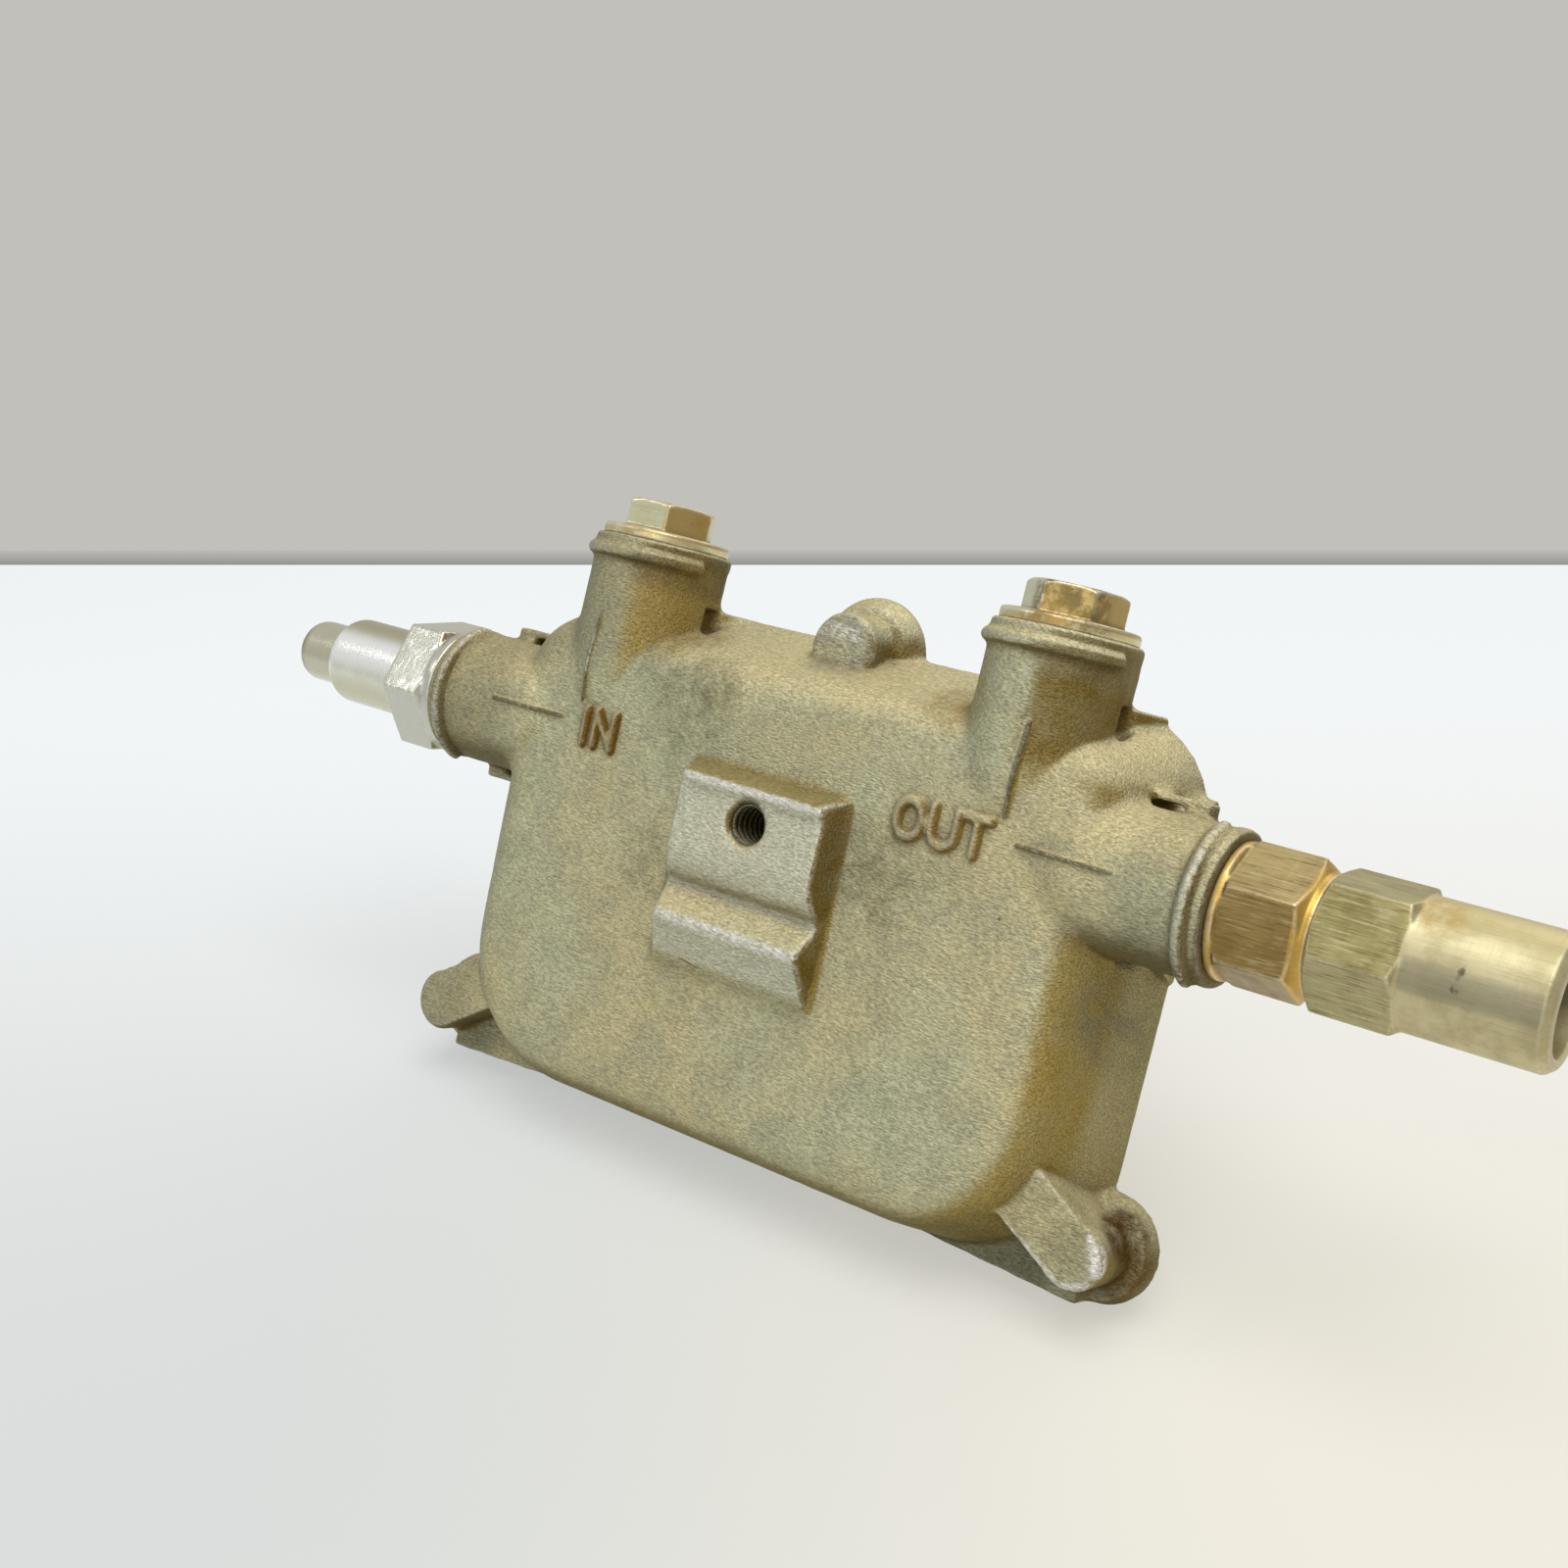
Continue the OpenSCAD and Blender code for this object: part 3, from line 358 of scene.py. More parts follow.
def finish_material(tree, colour, metallic, rough, heights, others=None):
    """Adds the shader, with a bump for each (height, strength, distance in millimetres) in turn."""
    inputs = {"Base Color": colour, "Metallic": metallic, "Roughness": rough, **(others or {})}
    bumped = {}
    for height, strength, distance in heights:
        bump = {"Height": height, "Strength": strength, "Distance": distance * MM, **bumped}
        bumped["Normal"] = tree.add("ShaderNodeBump", bump).outputs[0]
    shader = tree.add("ShaderNodeBsdfPrincipled", {**inputs, **bumped})
    tree.add("ShaderNodeOutputMaterial", {"Surface": shader.outputs[0]})


# Materials

def cast_relief(tree, colour):
    """Golden brown letters with painted shade on right flanks and a painted highlight on rims; dark gauge
    lines.
    """
    letter, line = tree.attribute("letter"), tree.attribute("line")
    strong = tree.mm_ramp(tree.axes()[0], -10, 10, 1.0, 0.5)
    colour = tree.paint(colour, LETTER_FACE, letter, strong, 0.5)
    # Painted shade on the letters' right-facing flanks
    flank_shade = tree.facing((1, -0.2, -0.35), 0.16, 0.45)
    colour = tree.paint(colour, LETTER_FLANK_SHADE, letter, flank_shade, strong)
    # Painted highlight on the letters' upper left rims
    rim = tree.facing((-0.8, -0.2, 0.6), 0.4, 0.7)
    colour = tree.paint(colour, LETTER_RIM_HIGHLIGHT, letter, rim, 0.5)
    rough = tree.noise(900, 3, 0.7)
    colour = tree.paint(colour, LINE_DARK, line, tree.ramp(rough, 0.3, 0.55, 0.6, 0.9))
    fleck = tree.facing((-1, -0.3, 0.2), 0.45, 0.8)
    return tree.paint(colour, WEAR_GREY, line, fleck, tree.ramp(rough, 0.5, 0.6))


def film_parts(tree):
    """Where a point lies on the casting, whose face is at no depth, and masks of its parts."""
    across, depth, height = tree.axes()
    beside = tree.math("ABSOLUTE", across)
    central = tree.mm_ramp(beside, 19, 17)
    return SimpleNamespace(
        across=across, depth=depth, height=height,
        raised=tree.product(tree.mm_ramp(depth, -0.3, -1.0), central),
        on_pad=tree.product(central, tree.mm_ramp(depth, 0.6, 0)),
        on_boss=tree.mm_ramp(height, 15.2, 23.2),
        at_end=tree.math("MAXIMUM", tree.mm_ramp(beside, 66, 69), tree.mm_ramp(height, 32.2, 35.2)))


def film_clouds_and_left_shade(tree, patch, part):
    """Olive in broad clouds, greyer on left-facing sides as painted shade, and paler on the clamp pad."""
    cloud = tree.noise(CLOUD_SCALE, 3)
    film = tree.mix(tree.ramp(cloud, 0.38, 0.62), FILM_GREEN, FILM_YELLOW)
    film = tree.paint(film, FILM_GREY, tree.ramp(patch, 0.40, 0.68, 0, 0.5))
    # Painted shade: left-facing sides greyer and darker
    film = tree.paint(film, SHADE_LEFT, tree.facing((-1, 0, 0.1), 0.15, 0.7, 0.8))
    return tree.paint(film, FILM_PAD, part.raised, tree.facing((0, -1, -0.1), 0.6, 0.9, 0.7))


def flank_shading(tree, patch, part, film):
    """Painted shade on right flanks: brown on the upper bosses and the pad, ochre by the face, olive on the
    wall.
    """
    # Painted shade on the surfaces that face right
    to_right = (0.95, 0.1, -0.25)
    right_half = tree.mm_ramp(part.across, -25, -20)
    wide = tree.mix(right_half, tree.facing(to_right, 0.0, 0.42), tree.facing(to_right, -0.15, 0.24))
    close = tree.facing(to_right, 0.12, 0.50)
    right = tree.math("ADD", tree.product(wide, part.on_boss),
                      tree.product(close, tree.math("SUBTRACT", 1.0, part.on_boss)))
    right = tree.product(right, tree.facing((0, 0, 1), 0.62, 0.25),
                         tree.ramp(patch, 0.25, 0.7, 1.0, 0.75))
    wall = tree.product(tree.mm_ramp(part.depth, 10.5, 14.5),
                        tree.mm_ramp(part.height, -42, -24, 0.65, 1.0))
    flank_shade = tree.mix(wall, SHADE_OCHRE, SHADE_SIDE)
    flank_shade = tree.mix(tree.math("MAXIMUM", part.on_boss, part.on_pad), flank_shade,
                     tree.mix(right_half, SHADE_AMBER, SHADE_BROWN))
    flank_shade = tree.paint(flank_shade, SHADE_END, part.at_end, tree.mm_ramp(part.height, -20, -16))
    film = tree.mix(right, film, flank_shade)
    # Painted shade on the surfaces that face down
    return tree.paint(film, SHADE_UNDER, tree.facing((0, 0.1, -1), 0.35, 0.8, 0.8))


def film_shade(tree, part):
    """The film is darker on the side ports, with painted shade in the clamp hole and about the lower right
    lug.
    """
    from_axis = tree.add("ShaderNodeCombineXYZ", {0: part.across, 2: part.height}).outputs[0]
    radial = tree.measure("LENGTH", from_axis)
    # Painted shade inside the clamp hole
    hole = tree.product(tree.mm_ramp(radial, 3.6, 3.3), tree.mm_ramp(part.depth, 12, 9, 0, 0.6))
    left = tree.math("MAXIMUM", tree.mm_ramp(part.across, -54, -62),
                     tree.product(part.on_boss, tree.mm_ramp(part.across, -24, -30)))
    right = tree.mm_ramp(part.across, 60, 68, 0, 0.18)
    # Painted shade about the lower right lug, strongest on its web
    under_lug_shade_share = tree.math("SUBTRACT", tree.mm_ramp(part.across, 25, 32, 0.18, 0.62),
                           tree.mm_ramp(part.across, 59, 63, 0, 0.36))
    foot = tree.product(tree.mm_ramp(part.height, -45, -48), tree.mm_ramp(part.depth, 12, 15),
                        under_lug_shade_share)
    shade = 1.0
    for loss in (tree.product(left, 0.26), right, foot):
        shade = tree.math("SUBTRACT", shade, loss)
    return tree.math("SUBTRACT", shade, hole, True)


def cast_film(tree):
    """The film's colour: olive in broad clouds, painted shade browner away from the light and towards the
    right, painted top light.
    """
    patch = tree.noise(PATCH_SCALE, 4, 0.62)
    part = film_parts(tree)
    film = flank_shading(tree, patch, part, film_clouds_and_left_shade(tree, patch, part))
    # Painted light on upward-facing slopes, with the clamp pad's upper slope in ochre instead
    upper_slope = tree.product(part.on_pad, tree.mm_ramp(part.height, 1.2, 4.2))
    film = tree.mix(tree.facing((-0.1, -0.2, 0.97), 0.35, 0.85, 0.65), film,
                    tree.mix(upper_slope, TOP_LIGHT, SHADE_OCHRE))
    return tree.scale(film, film_shade(tree, part))


def cast_marks(tree, colour):
    """Stains, pits and scratches at the places where the photograph has them, and painted shade in the lower
    right lug's hollow.
    """
    ragged = tree.ramp(tree.noise(260, 5, 0.7), 0.22, 0.72)
    for place, radius, soft, shade, most in CAST_STAINS_AND_SHADE:
        rim = ragged if radius > 1 else 1.0
        colour = tree.paint(colour, shade, tree.spot(place, radius, soft), rim, most)
    for start, end, width in CAST_SCRATCHES:
        colour = tree.paint(colour, SCRATCH_GREY, tree.scratch(start, end, width), 0.7)
    ragged = tree.ramp(tree.noise(900, 4, 0.75), 0.38, 0.54, 0.12, 1)
    for start, end, width, most in CAST_WORN_AND_HIGHLIGHT:
        colour = tree.paint(colour, WEAR_GREY, tree.scratch(start, end, width), ragged, most)
    return colour


def cast_material():
    """Sand-cast metal under a yellow-green film: grain, pits, brown recesses deepened by painted shade, and
    worn edges.
    """
    material, tree = new_material("cast_chromate")
    grain = tree.noise(GRAIN_SCALE, 2, 0.6, (0.3, 1, 1), LEAN)
    fine = tree.noise(FINE_SCALE, 1, 0.5, (0.5, 1, 1), LEAN)
    speck = tree.noise(SPECK_SCALE, 4, 0.7)

    film = cast_marks(tree, cast_film(tree))
    film = tree.scale(film, tree.ramp(grain, 0.30, 0.70, 1.22, 0.76))
    film = tree.scale(film, tree.ramp(fine, 0.35, 0.65, 1.10, 0.88))
    film = tree.paint(film, SPECK_DARK, tree.ramp(speck, 0.68, 0.76, 0, 0.6))
    film = cast_relief(tree, film)
    # Brown recesses: a thicker film in inner corners, deepened as painted shade
    recess = tree.product(tree.attribute("recess"), tree.ramp(speck, 0.3, 0.6, 0.65, 1.0))
    film = tree.paint(film, RECESS_BROWN, tree.math("MULTIPLY", recess, 0.85, True))

    chafe = tree.product(tree.attribute("wear"), tree.ramp(speck, 0.34, 0.6, 0.35, 1.2))
    worn = tree.math("MULTIPLY", chafe, tree.ramp(tree.noise(1100, 3, 0.7), 0.36, 0.56), True)
    finish_material(
        tree, tree.paint(film, WEAR_GREY, worn),
        tree.ramp(worn, 0, 1, 0.5, 0.8, False), tree.ramp(worn, 0, 1, 0.48, 0.36, False),
        [(speck, 0.4, 0.4), (grain, 1.0, 0.35), (fine, 0.8, 0.12)],
        {"Specular IOR Level": 0.22, "Specular Tint": linear(205, 198, 165)})
    return material


def turned_tints(tree, along, patch, main, deep, sides, sides_after, shading_fades):
    """The metal's main colour with deeper patches, with painted light and shade on some sides and towards
    some stations.
    """
    colour = tree.mix(tree.ramp(patch, 0.38, 0.70, 0, 0.7), main, deep)
    start = 1.0 if sides_after is None else tree.mm_ramp(along, sides_after, sides_after + 0.4)
    # Painted light and shade on the sides that face each direction
    for direction, low, high, shade, most in sides:
        side = tree.facing(direction, low, high, most)
        colour = tree.paint(colour, shade, side, tree.ramp(patch, 0.25, 0.7, 1.0, 0.7), start)
    # Painted shade towards some stations, on the surfaces that face a direction
    for start, end, direction, shade, most in shading_fades:
        colour = tree.paint(colour, shade, tree.mm_ramp(along, start, end, 0, most),
                            tree.facing(direction, -0.1, 0.7))
    return colour


def turned_material(name, main, deep, axis, bands=(), stains=(), rough=0.3, wear=0.4, lines=(), sides=(),
                    shading_fades=(), band_shading=(), dents=None, sides_after=None, drawn=0.5):
    """Turned metal: streaks along its axis, coloured bands, painted light and shade on its sides, and bright
    worn edges.
    """
    material, tree = new_material(name)
    ring = tree.noise(RING_SCALE, 2, 0.7, [1.0 if k == axis else 0.03 for k in range(3)])
    streak = tree.noise(STREAK_SCALE, 3, 0.7, [0.05 if k == axis else 1.0 for k in range(3)])
    patch = tree.noise(150, 4, 0.62)
    fleck = tree.noise(FLECK_SCALE, 3, 0.7)
    along = tree.axes()[axis]
    colour = turned_tints(tree, along, patch, main, deep, sides, sides_after, shading_fades)
    smooth = 0.0
    for start, end, shade, most in bands:
        inside = tree.band(along, start, end)
        smooth = tree.math("MAXIMUM", smooth, inside)
        colour = tree.mix(tree.product(inside, most), colour,
                          tree.mix(tree.ramp(patch, 0.4, 0.66, 0, 0.35), shade, deep))
    # Painted highlights, reflections and shade on the bands, by the way a surface faces
    for direction, low, high, shade, most in band_shading:
        colour = tree.paint(colour, shade, tree.facing(direction, low, high, most), smooth)
    ragged = tree.ramp(tree.noise(420, 4, 0.7), 0.38, 0.6)
    for place_at, radius, soft, shade, most in stains:
        colour = tree.paint(colour, shade, tree.spot(place_at, radius, soft), ragged, most)
    drawn_here = tree.product(tree.math("SUBTRACT", 1.0, tree.product(smooth, 0.8)), drawn)
    colour = tree.mix(tree.product(tree.ramp(streak, 0.52, 0.68), drawn_here), colour, deep)
    colour = tree.paint(colour, STREAK_LIGHT, tree.ramp(streak, 0.46, 0.32), drawn_here, 0.45)
    for start, end, width in lines:
        colour = tree.paint(colour, MARK_DARK, tree.scratch(start, end, width), 0.6)
    if dents:
        dash = tree.noise(1500, 2, 0.6, (1.0, 0.6, 0.35))
        here = tree.product(tree.band(along, *dents), tree.facing((0, -1, 0.35), 0.75, 0.95))
        colour = tree.paint(colour, DENT_LIGHT, tree.ramp(dash, 0.56, 0.64), here)
        colour = tree.paint(colour, DENT_DARK, tree.ramp(dash, 0.44, 0.34, 0, 0.3), here)
    bright = tree.math("MULTIPLY", tree.attribute("edge"), tree.ramp(fleck, 0.3, 0.55), True)
    colour = tree.paint(colour, EDGE_LIGHT, tree.math("MULTIPLY", bright, wear, True))
    # Painted shade in inner corners
    colour = tree.paint(colour, CREVICE_SHADE, tree.math("MULTIPLY", tree.attribute("recess"), 0.65, True))
    sheen = tree.ramp(ring, 0.3, 0.7, rough - 0.04, rough + 0.10, False)
    finish_material(tree, colour, METAL_SHARE, sheen,
                    [(ring, 0.05, 0.05), (streak, 0.3, 0.08), (fleck, 0.2, 0.05)])
    return material


def plug_gold_material():
    """The entry plugs: pale gold, with painted shade browning their hexagons' right faces and painted light
    paling the left ones green.
    """
    return turned_material(
        "plug_gold", (220, 212, 168), (186, 160, 100), 2, rough=0.28, wear=0.5, drawn=0.12,
        # Painted shade on the hexagons' right faces and painted light on their left ones
        sides=(((1, -0.55, 0), 0.42, 0.75, (158, 126, 54), 0.9),
               ((-0.5, -1, 0), 0.78, 0.93, (218, 226, 200), 0.9)),
        sides_after=PORT_ORIGIN.z + PLUG_HEX_Z,
        stains=(((43.5, -8, 38.5), 6.5, 2, (128, 108, 60), 0.8),
                ((41.5, -6, 38), 4, 3, (112, 96, 52), 0.8),
                ((41, -11, 33.5), 3, 4, (176, 138, 66), 0.7),
                ((-39, -11, 33.5), 3, 4, (176, 144, 76), 0.6)))


def entry_body_material():
    """The connector's first hexagon: drawn brown gold between two bright bands, painted shade on front
    facets, painted light on upper ones.
    """
    return turned_material(
        "body_gold", (166, 146, 96), (116, 90, 42), 0, rough=0.34, wear=0.45, drawn=0.75,
        # Painted shade on the front facets and painted light on the upper ones
        sides=(((0.1, -1, 0.1), 0.8, 0.97, (150, 122, 64), 0.6),
               ((0, -0.5, 1), 0.75, 0.95, (196, 176, 122), 0.75)),
        bands=((75, 77.7, (214, 180, 98), 1.0), (88.6, 91.2, (208, 170, 82), 1.0)))


def barrel_material():
    """The connector's back nut: an olive hexagon, a pale barrel with a painted dull reflection stripe,
    painted light, and dark marks.
    """
    return turned_material(
        "nut_olive", (164, 154, 106), (112, 100, 52), 0, rough=0.42, wear=0.35, drawn=0.75,
        # Painted light on the upper and lower sides
        sides=(((0, -0.4, 1), 0.7, 0.95, (176, 166, 122), 0.6),
               ((0, -0.6, -1), 0.75, 0.95, (186, 180, 142), 0.6)),
        bands=((103.6, 126, (202, 192, 152), 1.0),),
        # A painted dark reflection along the barrel's front and painted light on its top
        band_shading=(((0, -1, -0.12), 0.955, 0.99, (146, 140, 116), 0.7),
                    ((0, -0.35, 1), 0.8, 0.97, (206, 190, 136), 0.7)),
        stains=(((106.5, -6, 7.5), 2.5, 3, (182, 150, 84), 0.6),
                ((111.8, -9.8, -1.3), 0.45, 0.35, (50, 44, 32), 1.0),
                ((112.1, -9.8, 1.2), 0.35, 0.4, (84, 76, 56), 1.0)),
        lines=(((112.4, -9.8, 2.6), (111.8, -9.9, 0.2), 0.5),))


def terminator_material():
    """The terminator: silver with a painted highlight on its barrel's front, painted shade about it, a
    dented hexagon and a duller tip.
    """
    return turned_material(
        "worn_silver", (238, 240, 228), (214, 214, 198), 0, rough=0.2, wear=0.5, drawn=0.15,
        # Painted shade on the top, bottom and right sides
        sides=(((0, 0.1, 1), 0.55, 0.9, (206, 202, 176), 0.9),
               ((0, 0.0, -1), 0.2, 0.7, (214, 210, 184), 0.9),
               ((1, 0, 0), 0.5, 0.9, (190, 178, 138), 0.9)),
        # Painted shade on the shoulder, the hexagon's front and the tip's end
        shading_fades=((-107.6, -108.6, (0, -1, 0.2), (198, 194, 170), 0.9),
               (-89.2, -88.8, (0, -1, 0), (200, 201, 188), 0.9),
               (-115.5, -118.0, (-1, -0.4, -0.2), (112, 108, 92), 1.0)),
        bands=((-107.2, -88.8, (220, 218, 200), 0.0),),
        # A painted highlight along the barrel's front, and painted shade on its top and bottom
        band_shading=(((-0.1, -0.95, 0.3), 0.84, 0.98, (255, 255, 255), 1.0),
                    ((0, 0, 1), 0.5, 0.9, (178, 172, 142), 0.9),
                    ((0, 0, -1), 0.15, 0.7, (206, 202, 176), 0.9)),
        stains=(((-78, -7.5, 9.0), 1.2, 1.4, (122, 92, 52), 0.9),),
        dents=(-88.5, -77.5))


def threaded_port_material():
    """Plated subscriber ports whose outer thread shows as fine rings with painted shade in the troughs, away
    from their hexagons.
    """
    material, tree = new_material("threaded_plate")
    across, depth, height = tree.axes()
    off_x = tree.math("SUBTRACT", tree.math("ABSOLUTE", across), TAP_X * MM)
    off_z = tree.math("SUBTRACT", height, (TAP_MIDDLE_Z + PORT_ORIGIN.z) * MM)
    off_z = tree.math("SUBTRACT", tree.math("ABSOLUTE", off_z), TAP_HALF_Z * MM)
    radius = tree.math("SQRT", tree.math("ADD", tree.product(off_x, off_x), tree.product(off_z, off_z)))
    on_thread = tree.mm_ramp(radius, 4.95, 4.80)
    wave = tree.product(tree.math("SINE", tree.product(depth, 2 * math.pi / (TAP_PITCH * MM))), on_thread)
    patch = tree.noise(500, 4, 0.6)
    tint = tree.mix(tree.ramp(patch, 0.4, 0.65), (208, 206, 198), (168, 166, 158))
    # Painted shade in the thread's troughs
    tint = tree.paint(tint, (96, 94, 88), tree.ramp(wave, -0.2, -0.9, 0, 0.7))
    finish_material(tree, tint, 0.85, 0.3, [(wave, 1.0, 0.3)])
    return material


def plain_material(name, colour, metallic, rough, scale=600, bump=0.2):
    """A plain finish with a fine grain, for the pieces that hardly show."""
    material, tree = new_material(name)
    grain = tree.noise(scale, 4, 0.6)
    colour = linear(*colour)
    darker = tuple(c * 0.85 for c in colour[:3]) + (1.0,)
    tint = tree.mix(tree.ramp(grain, 0.35, 0.65), colour, darker)
    finish_material(tree, tint, metallic, rough, [(grain, bump, 0.05)])
    return material


def inner_materials():
    """The plain finishes, by the record's slots."""
    return {slot: plain_material(*finish) for slot, *finish in PLAIN_FINISHES}


# Mesh work

def new_object(name, data):
    thing = bpy.data.objects.new(name, data)
    bpy.context.scene.collection.objects.link(thing)
    return thing


def mesh_object(name, verts, faces):
    mesh = bpy.data.meshes.new(name)
    mesh.from_pydata([tuple(v) for v in verts], [], faces)
    mesh.validate()
    return new_object(name, mesh)


def copy_node(node, name, voxel_mm):
    """A remeshed copy of a CAD node's mesh."""
    thing = new_object(name, nodes[node].data.copy())
    thing.data.materials.clear()
    remesh(thing, voxel_mm)
    return thing


def select_only(*things):
    for other in bpy.context.selected_objects:
        other.select_set(False)
    for thing in things:
        thing.select_set(True)
    bpy.context.view_layer.objects.active = things[0]


def apply_modifier(thing, kind, **settings):
    modifier = thing.modifiers.new(kind.lower(), kind)
    for key, value in settings.items():
        setattr(modifier, key, value)
    select_only(thing)
    bpy.ops.object.modifier_apply(modifier=modifier.name)


def remesh(thing, voxel_mm):
    apply_modifier(thing, "REMESH", mode="VOXEL", voxel_size=voxel_mm * MM, adaptivity=0.0)


def limit_triangles(thing, most, hidden=None):
    """Thins a mesh out to a number of triangles, most of all where it is hidden."""
    count = sum(len(p.vertices) - 2 for p in thing.data.polygons)
    if count <= most:
        return
    settings = {"ratio": most / count}
    if hidden is not None:
        group = thing.vertex_groups.new(name="hidden")
        group.add([int(i) for i in np.flatnonzero(hidden)], 1.0, "REPLACE")
        settings.update(vertex_group="hidden", vertex_group_factor=1.0)
    apply_modifier(thing, "DECIMATE", **settings)


class Surface:
    """A mesh as arrays, with the averaging that shapes a casting and finds its edges."""

    def __init__(self, thing):
        self.mesh = thing.data
        self.count = len(self.mesh.vertices)
        self.points = self.read(self.mesh.vertices, "co").reshape(-1, 3).astype(float)
        self.ends = self.read(self.mesh.edges, "vertices", np.int32).reshape(-1, 2)
        self.degree = np.maximum(np.bincount(self.ends.ravel(), minlength=self.count), 1)
        gaps = self.points[self.ends[:, 0]] - self.points[self.ends[:, 1]]
        self.step = np.linalg.norm(gaps, axis=1).mean()
        self.normals = self.read_normals()

    @staticmethod
    def read(items, name, kind=np.float32):
        width = 2 if name == "vertices" else 3
        values = np.empty(len(items) * width, kind)
        items.foreach_get(name, values)
        return values

    def read_normals(self):
        return self.read(self.mesh.vertex_normals, "vector").reshape(-1, 3).astype(float)

    def around(self, values):
        """The mean of each point's neighbours."""
        first, second = self.ends[:, 0], self.ends[:, 1]
        total = np.bincount(first, values[second], self.count)
        total += np.bincount(second, values[first], self.count)
        return total / self.degree

    def spread(self, values, rounds):
        for _ in range(rounds):
            values = 0.5 * values + 0.5 * self.around(values)
        return values

    def spread_points(self, rounds):
        return np.stack([self.spread(self.points[:, i], rounds) for i in range(3)], 1)

    def write_points(self):
        self.mesh.vertices.foreach_set("co", self.points.astype(np.float32).ravel())
        self.mesh.update()
        self.normals = self.read_normals()

    def soften(self, rounds, open_rounds, free):
        """Fills inner corners and evens out facets, but keeps outer edges after their open rounds."""
        for turn in range(rounds):
            pull = np.stack([self.around(self.points[:, i]) for i in range(3)], 1) - self.points
            height = (pull * self.normals).sum(1) / self.step
            share = np.clip(1 + (height + CRISP_START) / CRISP_RANGE, 0, 1) * free
            share = np.where(turn < open_rounds, 1.0, share)
            self.points += 0.5 * share[:, None] * pull
            if turn % 6 == 5:
                self.write_points()
        self.write_points()

    def uneven(self, depth_mm, rounds, where):
        """Gives the surface the slight waviness of a sand casting."""
        wave = self.spread(np.random.default_rng(7).normal(size=self.count), rounds)
        self.points += (wave / wave.std() * depth_mm * MM * where)[:, None] * self.normals
        self.write_points()

    def store(self, name, values):
        layer = self.mesh.attributes.new(name, "FLOAT", "POINT")
        layer.data.foreach_set("value", np.clip(values, 0, 1).astype(np.float32))

    def mark_curvature(self, recess_mm):
        """Stores edge, for what stands out sharply, and recess, for what lies in an inner corner."""
        height = ((self.points - self.spread_points(3)) * self.normals).sum(1) / self.step
        edge = np.clip((self.spread(height, 2) - 0.04) * 11, 0, 1)
        rounds = int(2 * (recess_mm * MM / self.step) ** 2)
        depth = ((self.spread_points(rounds) - self.points) * self.normals).sum(1) / MM
        recess = np.clip((depth - 0.03) * 4 / recess_mm, 0, 1)
        self.store("edge", edge)
        self.store("recess", recess)
        return edge


def dress(thing, material, slot, *replaced):
    """Smooths a piece, gives it its material, lets it ride, and hides the CAD nodes it stands for."""
    for polygon in thing.data.polygons:
        polygon.use_smooth = True
    thing.data.materials.clear()
    thing.data.materials.append(material)
    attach(thing, "root")
    for node in replaced:
        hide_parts(node)


# Lettering and gauge lines on the casting

def ridge(points, low_width, high_width, height, depth_at, sink=0.6):
    """A raised stroke along points (x, z) with sloped flanks and round ends, laid on the casting."""
    sides = 12
    verts, faces = [], []
    levels = ((sink, low_width / 2), (0, low_width / 2), (-height, high_width / 2))

    def add_hull(centres):
        work = bmesh.new()
        for x, z in centres:
            surface_y = depth_at(x, z)
            for rise, radius in levels:
                for k in range(sides):
                    a = 2 * math.pi * k / sides
                    work.verts.new(port_point(x + radius * math.cos(a), surface_y + rise,
                                              z + radius * math.sin(a)))
        result = bmesh.ops.convex_hull(work, input=work.verts)
        loose = [v for v in result["geom_interior"] if isinstance(v, bmesh.types.BMVert)]
        bmesh.ops.delete(work, geom=loose, context="VERTS")
        work.verts.index_update()
        start = len(verts)
        verts.extend(v.co.copy() for v in work.verts)
        faces.extend([start + v.index for v in f.verts] for f in work.faces)
        work.free()

    for first, second in zip(points, points[1:]):
        add_hull((first, second))
    return mesh_object("stroke", verts, faces)


def surface_depth(places):
    """A function that gives the depth of the casting's outer surface at a point (x, z)."""
    near = places[(places[:, 1] < -5) & (places[:, 2] > -8) & (places[:, 2] < 24)]

    def depth_at(x, z):
        close = near[(np.abs(near[:, 0] - x) < 0.5) & (np.abs(near[:, 2] - z) < 0.5), 1]
        return float(np.median(close[close < close.min() + 1])) if len(close) else FACE_Y
    return depth_at


def distance_to(places, strokes):
    """How far each point lies from the nearest of the strokes, seen square on to the face."""
    nearest = np.full(len(places), 99.0)
    for points in strokes:
        for (x0, z0), (x1, z1) in zip(points, points[1:]):
            run = np.array((x1 - x0, z1 - z0))
            offset = places[:, [0, 2]] - np.array((x0, z0))
            share = np.clip(offset @ run / max(run @ run, 1e-9), 0, 1)
            nearest = np.minimum(nearest, np.linalg.norm(offset - share[:, None] * run, axis=1))
    return nearest


def divided(start, end, longest=1.2):
    """A straight stroke in short steps."""
    count = max(1, math.ceil(math.dist(start, end) / longest))
    return [(start[0] + (end[0] - start[0]) * k / count, start[1] + (end[1] - start[1]) * k / count)
            for k in range(count + 1)]


def arc(centre, radii, start, stop, count):
    cx, cz = centre
    return [(cx + radii[0] * math.cos(math.radians(start + (stop - start) * k / count)),
             cz + radii[1] * math.sin(math.radians(start + (stop - start) * k / count)))
            for k in range(count + 1)]


